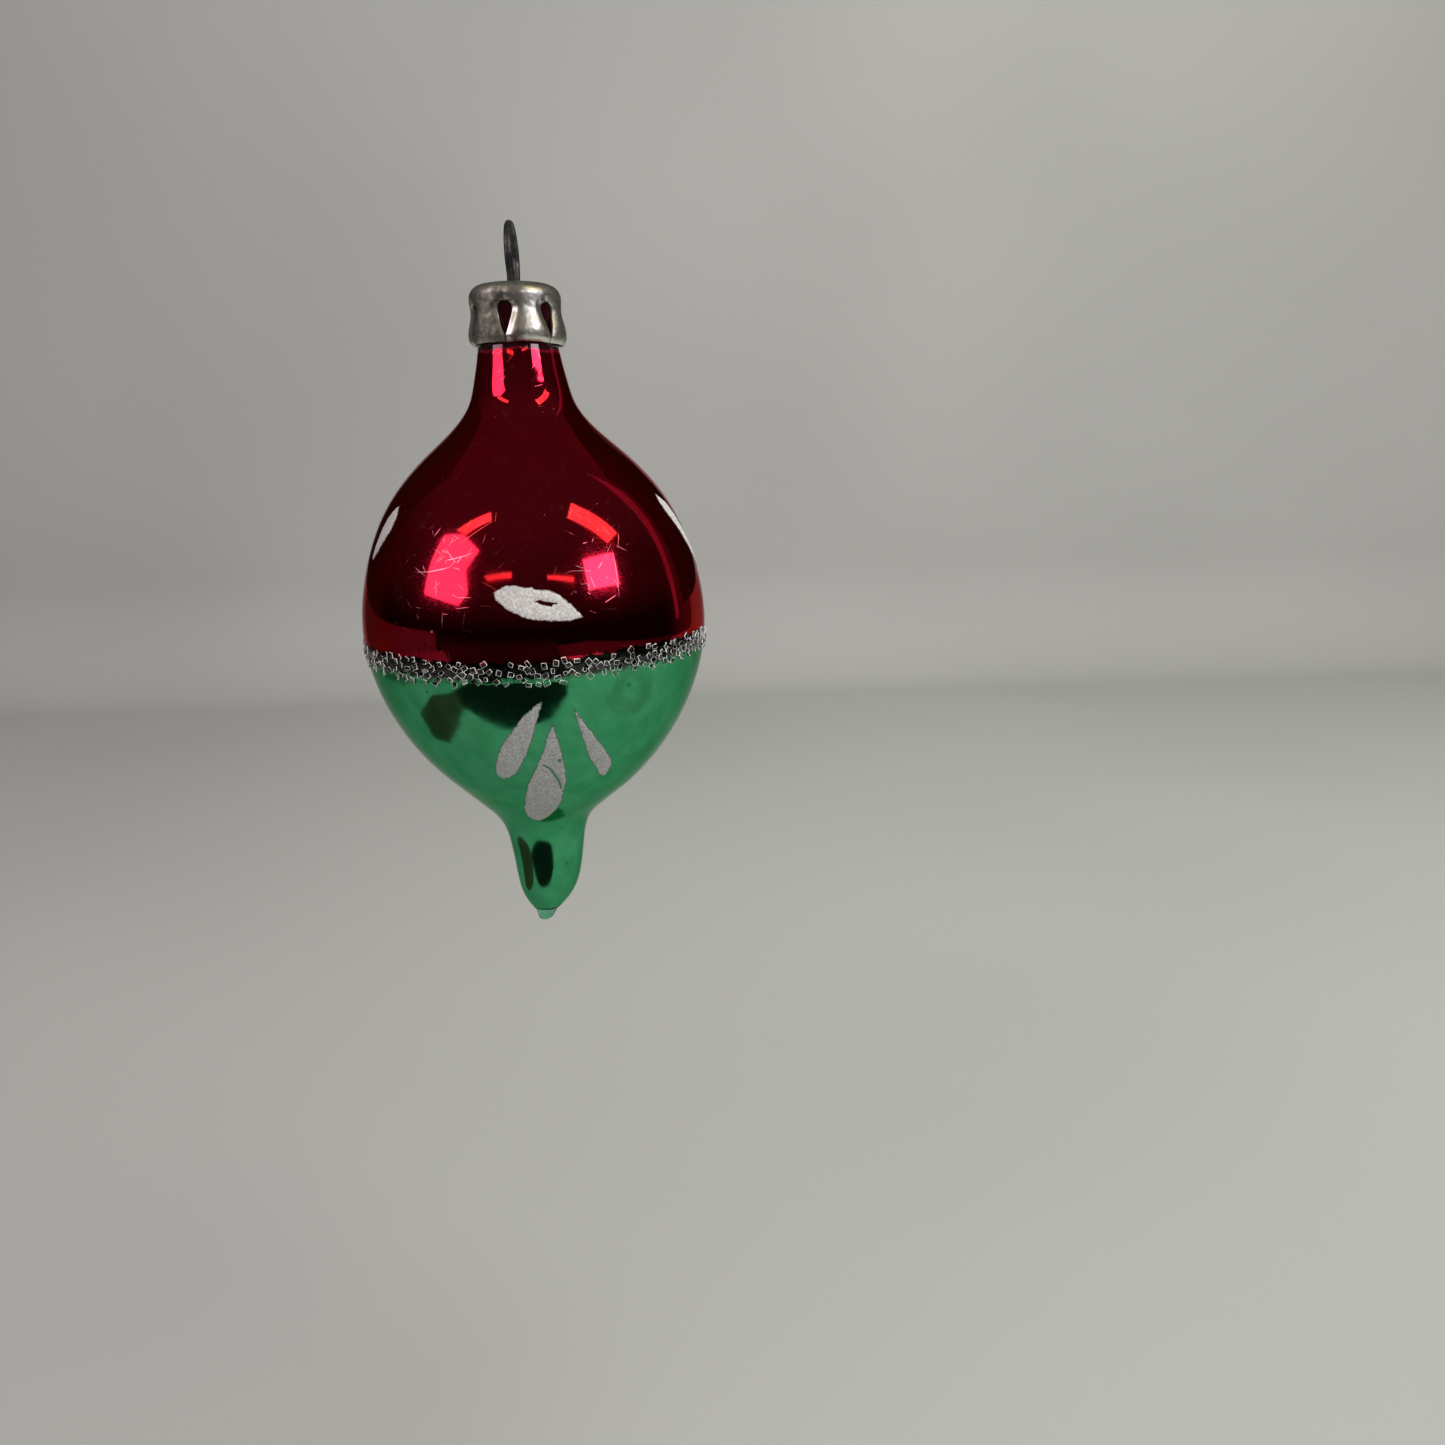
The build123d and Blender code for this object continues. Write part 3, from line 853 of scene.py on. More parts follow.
def join_rings(rings):
    """Faces between neighbouring rings of points. A ring that holds one point over and over is a pole."""
    faces = []
    for upper, lower in zip(rings, rings[1:]):
        for i in range(len(upper)):
            j = (i + 1) % len(upper)
            faces.append(tuple(dict.fromkeys((upper[i], lower[i], lower[j], upper[j]))))
    return faces


def lathe(profile, segments, closed=False):
    """Turns a profile of radius and height round the glass's own centre line. A zero radius is a pole."""
    turn = np.linspace(0, 2 * np.pi, segments, endpoint=False)
    points, rings = [], []
    for radius, height in profile:
        start = len(points)
        if radius < 1e-6:
            points.append((-lean(height), 0, height + GIRTH_HEIGHT))
            rings.append([start] * segments)
            continue
        x, y = radius * np.sin(turn) - lean(height), -radius * np.cos(turn)
        points.extend(zip(x, y, [height + GIRTH_HEIGHT] * segments))
        rings.append(list(range(start, start + segments)))
    return points, join_rings(rings + rings[:1] if closed else rings)


def build_piece(name, points, faces, material, sharp=40, attributes=None):
    """A mesh object from points in millimetres in the row frame."""
    mesh = bpy.data.meshes.new(name)
    mesh.from_pydata((np.array(points, float) * MM).tolist(), [], faces)
    for key, values in (attributes or {}).items():
        layer = mesh.attributes.new(key, "FLOAT", "POINT")
        layer.data.foreach_set("value", np.array(values, np.float32))
    settle(mesh, sharp)
    piece = bpy.data.objects.new(name, mesh)
    piece.data.materials.append(material)
    bpy.context.collection.objects.link(piece)
    return piece


def settle(mesh, sharp):
    """Faces outwards, smooth shading, and edges sharper than the angle kept crisp."""
    shaped = bmesh.new()
    shaped.from_mesh(mesh)
    bmesh.ops.recalc_face_normals(shaped, faces=shaped.faces)
    shaped.to_mesh(mesh)
    shaped.free()
    mesh.polygons.foreach_set("use_smooth", [True] * len(mesh.polygons))
    mesh.set_sharp_from_angle(angle=math.radians(sharp))
    mesh.update()


def bake_modifiers(piece, sharp):
    """Replaces the piece's mesh by the result of its modifiers."""
    graph = bpy.context.evaluated_depsgraph_get()
    made = bpy.data.meshes.new_from_object(piece.evaluated_get(graph))
    old = piece.data
    piece.modifiers.clear()
    piece.data = made
    made.name = old.name
    bpy.data.meshes.remove(old)
    settle(made, sharp)


def stand_for(piece, body, slot, *nodes):
    """Puts the piece under its body and hides the CAD nodes it stands for; the slot argument is not used."""
    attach(piece, body)
    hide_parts(*nodes)


def stroke_edge(outline, ragged, seed):
    """A brush stroke's edge: smooth through its points, sharp at its tip, and a little ragged."""
    at, length = curve_through(outline + outline[:1])
    count = int(length / 0.11)
    edge = at(np.linspace(0, length, count, endpoint=False))
    ahead, behind = np.roll(edge, -1, axis=0), np.roll(edge, 1, axis=0)
    along = ahead - behind
    across = np.column_stack([along[:, 1], -along[:, 0]])
    across /= np.maximum(np.linalg.norm(across, axis=1), 1e-9)[:, None]
    wander = []
    for i, (x, z) in enumerate(edge):
        slow = drift(x * 1.3, z * 1.3, seed)
        quick = drift(x * 5.0, z * 5.0, seed + 7.0)
        from_tip = min(i, count - i) / 6
        wander.append(ragged * min(1.0, from_tip) * (0.9 * slow + 1.3 * quick))
    return edge + across * np.array(wander)[:, None]


def inside(polygon, points):
    """Which of the points lie inside the polygon."""
    polygon, points = np.asarray(polygon), np.asarray(points)
    ahead = np.roll(polygon, -1, axis=0)
    result = np.zeros(len(points), bool)
    for (x0, y0), (x1, y1) in zip(polygon, ahead):
        if y0 == y1:
            continue
        crosses = (y0 > points[:, 1]) != (y1 > points[:, 1])
        result ^= crosses & (points[:, 0] < (x1 - x0) * (points[:, 1] - y0) / (y1 - y0) + x0)
    return result


def distance_to_edge(points, polygons):
    """Distance from each point to the nearest side of any of the polygons."""
    points = np.asarray(points)
    nearest = np.full(len(points), 1e9)
    for polygon in polygons:
        polygon = np.asarray(polygon)
        for a, b in zip(polygon, np.roll(polygon, -1, axis=0)):
            side = b - a
            t = np.clip(((points - a) @ side) / max(side @ side, 1e-12), 0, 1)
            nearest = np.minimum(nearest, np.linalg.norm(points - (a + t[:, None] * side), axis=1))
    return nearest


def ribbon(points, half_width):
    """A thin closed outline along a line of points, tapering to both ends."""
    at, length = curve_through(points)
    line = at(np.linspace(0, length, 16))
    width = half_width * np.sin(np.linspace(0.25, np.pi - 0.25, 16))[:, None]
    offset = unit_directions(line)[1] * width
    return np.vstack([line - offset, (line + offset)[::-1]])


def stroke_mesh(outline, azimuth, settings, seed, bare):
    """One brush stroke as a thin closed solid lying on the lacquer."""
    edge = stroke_edge(outline, settings.ragged / MM, seed)
    step = 0.24
    low, high = edge.min(axis=0), edge.max(axis=0)
    across, up = np.meshgrid(np.arange(low[0], high[0], step), np.arange(low[1], high[1], step))
    across = across + (np.arange(across.shape[0]) % 2)[:, None] * step / 2
    fill = np.column_stack([across.ravel(), up.ravel()])
    fill = fill[inside(edge, fill)]
    fill = fill[distance_to_edge(fill, [edge, *bare]) > 0.10]
    loops, start = [], 0
    for polygon in (edge, *bare):
        count = len(polygon)
        loops += [(start + i, start + (i + 1) % count) for i in range(count)]
        start += count
    flat = [Vector(p) for p in np.vstack([edge, *bare, fill])]
    made = delaunay_2d_cdt(flat, loops, [], 0, 1e-6)
    places = np.array([tuple(p) for p in made[0]])
    triangles = np.array(made[2])
    middle = places[triangles].mean(axis=1)
    keep = inside(edge, middle)
    for polygon in bare:
        keep &= ~inside(polygon, middle)
    triangles = triangles[keep]
    used, triangles = np.unique(triangles, return_inverse=True)
    triangles = triangles.reshape(-1, 3)
    places = places[used]
    inward = distance_to_edge(places, [edge, *bare])
    thick = settings.thickness / MM
    ridge = np.array([drift(x * 0.9, z * 0.35, seed + 3.0) for x, z in places])
    rise = thick * (0.35 + 0.65 * np.clip(inward / 0.30, 0, 1) ** 0.5) + 0.018 * ridge * np.clip(inward, 0, 1)
    radius = skin(places[:, 1])[0]
    turn = math.radians(azimuth) + np.arcsin(np.clip(places[:, 0] / radius, -0.98, 0.98))
    coat = bpy.context.scene.ornament_glass.lacquer / MM
    top = surface_point(turn, places[:, 1], coat + rise)
    under = surface_point(turn, places[:, 1], coat - SINK)
    count = len(places)
    faces = [tuple(t) for t in triangles] + [tuple(t[::-1] + count) for t in triangles]
    sides = {}
    for a, b, c in triangles:
        for pair in ((a, b), (b, c), (c, a)):
            sides[frozenset(pair)] = None if frozenset(pair) in sides else pair
    faces += [(a, a + count, b + count, b) for a, b in filter(None, sides.values())]
    return np.vstack([top, under]), faces, {"inward": np.r_[inward, np.zeros(count)]}


def glitter_bed_mesh(coat, half_height):
    """The lumpy adhesive under the grains, a closed ring with a wandering edge."""
    turns, rows = 720, 13
    azimuth = np.linspace(0, 2 * np.pi, turns, endpoint=False)
    points, faces = [], []
    upper = [drift(12 * math.sin(a), 12 * math.cos(a), 0.0) for a in azimuth]
    lower = [drift(12 * math.sin(a), 12 * math.cos(a), 9.0) for a in azimuth]
    for i, a in enumerate(azimuth):
        middle = float(band_line(a))
        high = middle + half_height * (0.82 + 0.35 * upper[i])
        foot = middle - half_height * (0.82 + 0.35 * lower[i])
        for j in range(rows):
            t = j / (rows - 1)
            height = high + (foot - high) * t
            lump = noise.noise(Vector((21 * math.sin(a), -21 * math.cos(a), height)) * 1.4)
            rise = 0.02 + (0.06 + 0.05 * lump) * math.sin(math.pi * t) ** 0.6
            points.append(surface_point(a, height, coat + rise))
        for j in range(rows):
            height = foot + (high - foot) * j / (rows - 1)
            points.append(surface_point(a, height, coat - SINK))
    loop = 2 * rows
    for i in range(turns):
        k = (i + 1) % turns
        for j in range(loop):
            m = (j + 1) % loop
            faces.append((i * loop + j, i * loop + m, k * loop + m, k * loop + j))
    return points, faces


def chip(sides, bevel):
    """A block with bevelled edges: its points, its faces, and 1 for each face that is a bevel."""
    signs = [(x, y, z) for x in (-1, 1) for y in (-1, 1) for z in (-1, 1)]
    points = []
    for sign in signs:
        for axis in range(3):
            cuts = [0 if k == axis else bevel for k in range(3)]
            points.append([s * (half - cut) for s, half, cut in zip(sign, sides, cuts)])
    number = {sign: 3 * i for i, sign in enumerate(signs)}
    faces, kinds = [], []
    for axis in range(3):
        one, two = (axis + 1) % 3, (axis + 2) % 3
        for side in (-1, 1):
            ring = []
            for a, b in ((-1, -1), (1, -1), (1, 1), (-1, 1)):
                sign = [0, 0, 0]
                sign[axis], sign[one], sign[two] = side, a, b
                ring.append(number[tuple(sign)] + axis)
            faces.append(tuple(ring))
            kinds.append(0)
        for a in (-1, 1):
            for b in (-1, 1):
                ends = []
                for along in (-1, 1):
                    sign = [0, 0, 0]
                    sign[axis], sign[one], sign[two] = along, a, b
                    ends.append(number[tuple(sign)])
                faces.append((ends[0] + one, ends[1] + one, ends[1] + two, ends[0] + two))
                kinds.append(1)
    for sign in signs:
        faces.append((number[sign], number[sign] + 1, number[sign] + 2))
        kinds.append(1)
    return np.array(points), faces, kinds


def glitter_mesh(settings, coat):
    """Angular chips of clear glass, scattered along the band."""
    dice = random.Random(settings.seed)
    half = settings.half_height / MM
    placed, points, faces, kinds = [], [], [], []
    least, most = settings.smallest / MM / 2, settings.largest / MM / 2
    for _ in range(60000):
        if len(placed) == settings.grains:
            break
        a = dice.uniform(-math.pi, math.pi)
        height = float(band_line(a)) + half * max(-1.0, min(1.0, dice.gauss(0, 0.50)))
        gap = 0.58 + 0.45 * max(0.0, drift(9 * math.sin(a), 9 * math.cos(a), 2.0))
        here = np.array([21.6 * a, height])
        if any(abs(here[0] - p[0]) < gap and np.hypot(*(here - p)) < gap for p in placed):
            continue
        placed.append(here)
        sides = (dice.uniform(0.08, 0.13), dice.uniform(least, most), dice.uniform(least, most))
        shape, chip_faces, chip_kinds = chip(sides, 0.048)
        skew = np.array([[dice.uniform(-0.12, 0.12) for _ in range(3)] for _ in range(3)])
        shape = shape + shape @ skew
        spin = Matrix.Rotation(dice.uniform(0, 6.3), 3, "X")
        tilt = Matrix.Rotation(dice.gauss(0, 0.13), 3, "Y") @ Matrix.Rotation(dice.gauss(0, 0.13), 3, "Z")
        facing = Matrix.Rotation(a - math.pi / 2, 3, "Z")
        turned = shape @ np.array(facing @ tilt @ spin).T
        centre = surface_point(a, height, coat - 0.04)
        outward = np.array([math.sin(a), -math.cos(a), 0])
        centre = centre - outward * (turned @ outward).min() * 0.55
        start = len(points)
        points.extend(centre + turned)
        faces.extend(tuple(start + i for i in f) for f in chip_faces)
        kinds.extend(chip_kinds)
    return points, faces, kinds


def cap_profile():
    """Outer profile of the cap, from the middle of its top to its gathered foot."""
    crown = [(r, 43.0 - 0.012 * r) for r in (0.0001, 0.7, 1.4, 2.1, 2.8, 3.4, 3.9)]
    turn = np.linspace(0.12, math.pi / 2, 9)
    corner = [(CAP_FACE_RADIUS + 1.55 * math.sin(a), 41.45 + 1.53 * math.cos(a)) for a in turn]
    at, length = curve_through([(5.50, 41.45), (5.42, 39.9), (5.78, 37.2), (5.36, 36.1)], (0, -1), (-1, -0.9))
    skirt = at(np.linspace(0, length, 600))
    rows = [41.2, 40.98, 40.82, 40.75, 40.74, 40.70, 40.63, 40.54, 40.42, 40.26, 40.08, 39.86, 39.64, 39.40]
    rows += list(np.arange(39.15, 36.9, -0.28)) + [36.9, 36.72, 36.55, 36.4, 36.25]
    turned = [(np.interp(z, skirt[::-1, 1], skirt[::-1, 0]), z) for z in rows]
    return crown + corner + turned + [tuple(skirt[-1])]


def slot_half_width(height):
    """Half the width of a keyhole slot: round above, narrowing to a slit at the foot."""
    if height >= SLOT_TOP:
        return 0.0
    if height > SLOT_ROUND:
        return math.sqrt(max(0.0, 0.98**2 - (height - 39.8) ** 2))
    return 0.06 + 0.86 * max(0.0, (height - SLOT_NARROW) / 2.54) ** 0.8


def cap_mesh(settings):
    """The sheet cap's outside as one open sheet, with slots, curled slot edges and flared tabs."""
    profile = cap_profile()
    columns = 26
    spread = 0.5 - 0.5 * np.cos(np.linspace(0, np.pi, columns))
    points, faces, burnish_and_painted_light = [], [], []
    dice = random.Random(4)
    count = settings.slots
    evenly = [settings.first_slot + 2 * math.pi * k / count for k in range(count)]
    starts = [turn + dice.uniform(-0.035, 0.035) for turn in evenly]
    for k in range(count):
        left, right = starts[k], starts[(k + 1) % count] + (2 * math.pi if k == count - 1 else 0)
        flare, sag = dice.uniform(-0.06, 0.08), dice.uniform(-0.12, 0.10)
        first = len(points)
        for radius, height in profile:
            half = slot_half_width(height) / max(radius, 0.5)
            low = max(0.0, min(1.0, (41.2 - height) / 4.0))
            for t in spread:
                a = (left + half) + (right - left - 2 * half) * t
                side = min(t, 1 - t) * (right - left - 2 * half) * radius
                if height >= SLOT_TOP:
                    side = math.hypot(min(a - left, right - a) * radius, height - SLOT_TOP)
                near = math.exp(-((side / 0.50) ** 2)) if height < 42.4 else 0.0
                strength = 0.45 + 0.55 * max(0.0, min(1.0, (height - 36.6) / 2.6))
                pressed = settings.curl / MM * near * strength
                belly = (0.10 + flare) * low * math.sin(math.pi * t)
                wave = 0.05 * drift(3 * math.sin(a), 3 * math.cos(a), height * 0.6)
                r = radius + (belly - pressed + wave * low if radius > CAP_FACE_RADIUS else 0.0)
                drop = sag * max(0.0, (37.6 - height) / 1.5) * math.sin(math.pi * t)
                points.append((r * math.sin(a), -r * math.cos(a), height + drop + GIRTH_HEIGHT))
                rub = math.exp(-((max(0.0, side - 0.06) / 0.16) ** 2)) if height < 41.0 else 0.0
                foot = max(0.0, (36.75 - height) / 0.65) * 0.5
                shoulder = math.exp(-(((height - 42.0) / 0.5) ** 2)) * 0.35
                # Each tab's painted light from the per-tab list: a highlight where positive, shade where
                # negative
                face = TAB_PAINTED_LIGHT[k % len(TAB_PAINTED_LIGHT)] * min(1.0, side / 0.5) if height < 42.2 else 0.0
                burnish_and_painted_light.append(min(1.0, rub * 0.95 + foot + shoulder + face))
        for row in range(len(profile) - 1):
            for c in range(columns - 1):
                i = first + row * columns + c
                faces.append((i, i + columns, i + columns + 1, i + 1))
    return points, faces, burnish_and_painted_light


def wire_path(settings):
    """Centre line of one side of the wire, from the eye's top to a leg's end: across and height."""
    wire, eye = settings.radius / MM, settings.eye / MM
    round_eye = np.linspace(0, math.pi / 2 + EYE_PINCH, 34)
    path = [(eye * math.sin(t), wire - eye + eye * math.cos(t)) for t in round_eye]
    y, z = path[-1]
    down = -math.pi / 2
    heading = down - EYE_PINCH
    # Each run: the heading it ends on, or None for a straight one; its bend radius or length; its steps
    runs = ((down + LEG_SPLAY, WAIST_BEND, 12), (None, LEG_LENGTH, 22), (down - FOOT_TURN, FOOT_BEND, 8))
    for final, size, steps in runs:
        turn = 0.0 if final is None else (final - heading) / steps
        stride = size / steps if final is None else abs(turn) * size
        for _ in range(steps):
            heading += turn / 2
            y, z = y + stride * math.cos(heading), z + stride * math.sin(heading)
            heading += turn / 2
            path.append((y, z))
    return path


def wire_mesh(settings):
    """The whole wire as one closed tube with rounded ends."""
    half = wire_path(settings)
    path = np.array([(-y, z) for y, z in half[:0:-1]] + half)
    along, across = unit_directions(path)
    wire, sides = settings.radius / MM, 24
    turn = np.linspace(0, 2 * np.pi, sides, endpoint=False)
    stations = [(path[0], across[0], size) for size in END_RINGS]
    stations += [(p, c, 1.0) for p, c in zip(path, across)]
    stations += [(path[-1], across[-1], size) for size in reversed(END_RINGS)]
    points, rings = [], []
    for k, ((y, z), (cy, cz), size) in enumerate(stations):
        start = len(points)
        direction = along[-1] if k > len(stations) / 2 else -along[0]
        shift = END_RINGS.get(size, 0.0)
        y, z = y + direction[0] * shift, z + direction[1] * shift
        if size == 0.0:
            points.append((0, y, z))
            rings.append([start] * sides)
            continue
        r = wire * size
        points.extend((r * math.cos(t), y + r * math.sin(t) * cy, z + r * math.sin(t) * cz) for t in turn)
        rings.append(list(range(start, start + sides)))
    turned = np.array(points) @ np.array(Matrix.Rotation(settings.turn, 3, "Z")).T
    return turned, join_rings(rings)


# Operators ---------------------------------------------------------------------------------------------


class ORNAMENT_OT_glass(bpy.types.Operator):
    """Blow the glass: neck, bulb, spike and nib, with the silvering inside it"""

    bl_idname = "ornament.glass"
    bl_label = "Glass and silvering"

    def execute(self, context):
        settings = context.scene.ornament_glass
        wall, lining = settings.wall / MM, settings.lining / MM
        inner = offset_profile(-wall, NECK_TOP, HOLLOW_END)[:0:-1]
        radius = inner[0, 0]
        foot = [(0.0, HOLLOW_FOOT), (radius * 0.45, HOLLOW_FOOT + 0.06), (radius * 0.8, HOLLOW_FOOT + 0.28)]
        outer = offset_profile(0.0, NECK_TOP - LIP_DROP, SPIKE_END)
        profile = [*foot, *inner.tolist(), *LIP, *outer.tolist(), *NIB_PROFILE, (0.0, NIB_END)]
        piece = build_piece("blown_glass", *lathe(profile, 128), clear_glass(settings), sharp=60)
        stand_for(piece, "bulb", "glass", "glass_shell")

        outside = offset_profile(-wall - SINK, LINING_TOP, -35.5)[::-1]
        inside_face = offset_profile(-wall - SINK - lining, LINING_TOP, -35.4)
        radius = outside[0, 0]
        profile = [(0.0, -36.36), (radius * 0.8, -36.1), *outside.tolist()]
        profile += [*inside_face.tolist(), (radius * 0.7, -35.95), (0.0, -36.25)]
        piece = build_piece("silvering", *lathe(profile, 96), mirror_silver(), sharp=60)
        stand_for(piece, "bulb", "silvering", "mirror_lining")
        return {"FINISHED"}


class ORNAMENT_OT_lacquers(bpy.types.Operator):
    """Dip the two halves: the red coat above the girth and the green coat below it"""

    bl_idname = "ornament.lacquers"
    bl_label = "Red and green lacquer"

    def execute(self, context):
        settings = context.scene.ornament_glass
        coat = settings.lacquer / MM
        halves = (
            ("red_coat", LACQUER_TOP, COLOUR_LINE, red_lacquer, "red_lacquer"),
            ("green_coat", COLOUR_LINE, LACQUER_FOOT, green_lacquer, "green_lacquer"),
        )
        for name, top, foot, finish, node_name in halves:
            outer = offset_profile(coat, top, max(foot, SPIKE_END))
            inner = offset_profile(0.0, top, max(foot, SPIKE_END + 0.05))[::-1]
            points, faces = lathe([*outer.tolist(), *inner.tolist()], 256, closed=True)
            piece = build_piece(name, points, faces, finish(settings), sharp=60)
            stand_for(piece, "bulb", node_name, node_name)
        return {"FINISHED"}


class ORNAMENT_OT_strokes(bpy.types.Operator):
    """Brush the strokes: a lozenge and three petals front and back, and a leaf at each side"""

    bl_idname = "ornament.strokes"
    bl_label = "Painted strokes"

    def execute(self, context):
        settings = context.scene.ornament_paint
        bright = brushed_paint("Paint on red", settings.bright, (0.05, 0.004, 0.006))
        # Darker copy of the paint: painted shade on the down-facing petals
        shaded_paint = brushed_paint("Paint on green in painted shade", settings.shaded_paint, (0.01, 0.07, 0.03))
        crack = ribbon(PETAL_CRACK, 0.085)
        strokes = [
            ("left_leaf", LEFT_LEAF, MOTIF_AZIMUTH - SIDE_TURN, bright, ()),
            ("right_leaf", RIGHT_LEAF, MOTIF_AZIMUTH + SIDE_TURN, bright, ()),
            ("front_lozenge", LOZENGE, MOTIF_AZIMUTH, bright, (LOZENGE_SCUFF,)),
            ("front_petal_left", PETAL_LEFT, MOTIF_AZIMUTH, shaded_paint, ()),
            ("front_petal_middle", PETAL_MIDDLE, MOTIF_AZIMUTH, shaded_paint, (crack, PETAL_CHIP)),
            ("front_petal_right", PETAL_RIGHT, MOTIF_AZIMUTH, shaded_paint, ()),
            ("back_lozenge", LOZENGE, MOTIF_AZIMUTH + 180, bright, ()),
            ("back_petal_left", PETAL_LEFT, MOTIF_AZIMUTH + 180, shaded_paint, ()),
            ("back_petal_middle", PETAL_MIDDLE, MOTIF_AZIMUTH + 180, shaded_paint, ()),
            ("back_petal_right", PETAL_RIGHT, MOTIF_AZIMUTH + 180, shaded_paint, ()),
        ]
        for seed, (node_name, outline, azimuth, paint, bare) in enumerate(strokes):
            points, faces, attributes = stroke_mesh(outline, azimuth, settings, 1.7 * seed, bare)
            piece = build_piece("stroke_" + node_name, points, faces, paint, sharp=50, attributes=attributes)
            stand_for(piece, "bulb", "paint", node_name)
        return {"FINISHED"}


class ORNAMENT_OT_glitter(bpy.types.Operator):
    """Lay the glitter band: clear adhesive with angular glass grains in it"""

    bl_idname = "ornament.glitter"
    bl_label = "Glitter band"

    def execute(self, context):
        settings = context.scene.ornament_glitter
        coat = context.scene.ornament_glass.lacquer / MM
        shape = glitter_bed_mesh(coat, settings.half_height / MM)
        bed = build_piece("glitter_bed", *shape, glitter_bed_clear(), sharp=70)
        stand_for(bed, "bulb", "adhesive", "glitter_adhesive")
        points, faces, kinds = glitter_mesh(settings, coat)
        grains = build_piece("glitter", points, faces, glitter_glass(), sharp=20)
        grains.data.materials.append(grain_edges())
        grains.data.polygons.foreach_set("material_index", kinds)
        stand_for(grains, "bulb", "glitter", "glitter_grains")
        return {"FINISHED"}


class ORNAMENT_OT_cap(bpy.types.Operator):
    """Press the cap: a thin sheet with keyhole slots, gathered tabs and two holes for the wire"""

    bl_idname = "ornament.cap"
    bl_label = "Tinplate cap"

    def execute(self, context):
        settings = context.scene.ornament_cap
        points, faces, burnish_and_painted_light = cap_mesh(settings)
        # The cap's rubbed edges, which are wear, and each tab's painted highlight and shade
        rubbed = {"burnish_and_painted_light": burnish_and_painted_light}
        piece = build_piece("tin_cap", points, faces, tinplate(settings), sharp=35, attributes=rubbed)
        shaped = bmesh.new()
        shaped.from_mesh(piece.data)
        bmesh.ops.remove_doubles(shaped, verts=shaped.verts, dist=0.004 * MM)
        bmesh.ops.recalc_face_normals(shaped, faces=shaped.faces)
        shaped.to_mesh(piece.data)
        shaped.free()
        sheet = piece.modifiers.new("Sheet", "SOLIDIFY")
        sheet.thickness, sheet.offset, sheet.use_even_offset = settings.sheet, -1.0, False
        punches = []
        count = HOLE_SIDES
        sides = [(i, (i + 1) % count, count + (i + 1) % count, count + i) for i in range(count)]
        ends = [tuple(range(count - 1, -1, -1)), tuple(range(count, 2 * count))]
        turn = np.linspace(0, 2 * np.pi, count, endpoint=False)
        for side in (-1, 1):
            ring = [(HOLE_RADIUS * math.cos(t), side * HOLE_OFFSET + HOLE_RADIUS * math.sin(t)) for t in turn]
            corners = [(x, y, z + GIRTH_HEIGHT) for z in (41.9, 44.0) for x, y in ring]
            punch = build_piece("punch", corners, sides + ends, piece.data.materials[0])
            hole = piece.modifiers.new("Wire hole", "BOOLEAN")
            hole.operation, hole.object, hole.solver = "DIFFERENCE", punch, "EXACT"
            punches.append(punch)
        bake_modifiers(piece, sharp=35)
        for punch in punches:
            bpy.data.objects.remove(punch)
        stand_for(piece, "cap", "cap_metal", "cap")
        return {"FINISHED"}


class ORNAMENT_OT_wire(bpy.types.Operator):
    """Bend the wire: a round eye, pinched at the cap, with two splayed legs"""

    bl_idname = "ornament.wire"
    bl_label = "Spring wire"

    def execute(self, context):
        settings = context.scene.ornament_wire
        piece = build_piece("spring_wire", *wire_mesh(settings), oxidised_steel(settings), sharp=60)
        stand_for(piece, "hanger", "wire", "hanger_wire")
        return {"FINISHED"}


def toward(azimuth, elevation):
    """Unit vector from the ornament: azimuth from the front (-Y) towards +X."""
    a, e = math.radians(azimuth), math.radians(elevation)
    return Vector((math.sin(a) * math.cos(e), -math.cos(a) * math.cos(e), math.sin(e)))


def seen_at(corners, distance):
    """Points at one distance from the girth's centre, from azimuths and elevations in degrees."""
    return [tuple(Vector((0, 0, GIRTH_HEIGHT)) + toward(a, e) * distance) for a, e in corners]


# Softboxes: name, colour, radiance, and corners as azimuth and elevation in degrees
WARM, DIM = (1.0, 0.80, 0.42), (1.0, 0.85, 0.80)
SOFTBOXES = [
    ("window_left", (1.0, 0.80, 0.92), 3.8, [
        (-65, 36), (-49, 40), (-31.5, 35), (-39, 26), (-36, 18), (-42, 12.5), (-68, 13.5), (-68, 24),
    ]),
    ("window_right", (1.0, 0.92, 1.05), 7.0, [(46, 30), (71, 28.3), (68.3, 17), (45.3, 18)]),
    ("strip_left", WARM, 3.6, [(-56.6, 40.5), (-33.5, 56), (-29, 51.3), (-46.5, 40.5)]),
    ("strip_right", WARM, 3.6, [(59.8, 59), (82.6, 34.3), (70, 32.7), (45.8, 51.6)]),
    ("batten_left", WARM, 2.4, [(-25.8, 25.5), (-6, 28), (-6, 25.8), (-22.7, 23.8)]),
    ("batten_right", WARM, 2.8, [(18.5, 26.3), (36.9, 24.2), (35.9, 22.2), (18.2, 25)]),
    # The table and door-edge cards are no lamps: dim glowing cards that paint the reflections of a lit table
    # and a door edge
    ("table_glow_left", DIM, 0.12, [(-58, -0.5), (-58, -13), (-152, -13), (-152, -0.5)]),
    ("door_edge_glow", DIM, 0.32, [(113, -4), (116.5, -4), (121, 40), (116, 60), (112, 40)]),
]
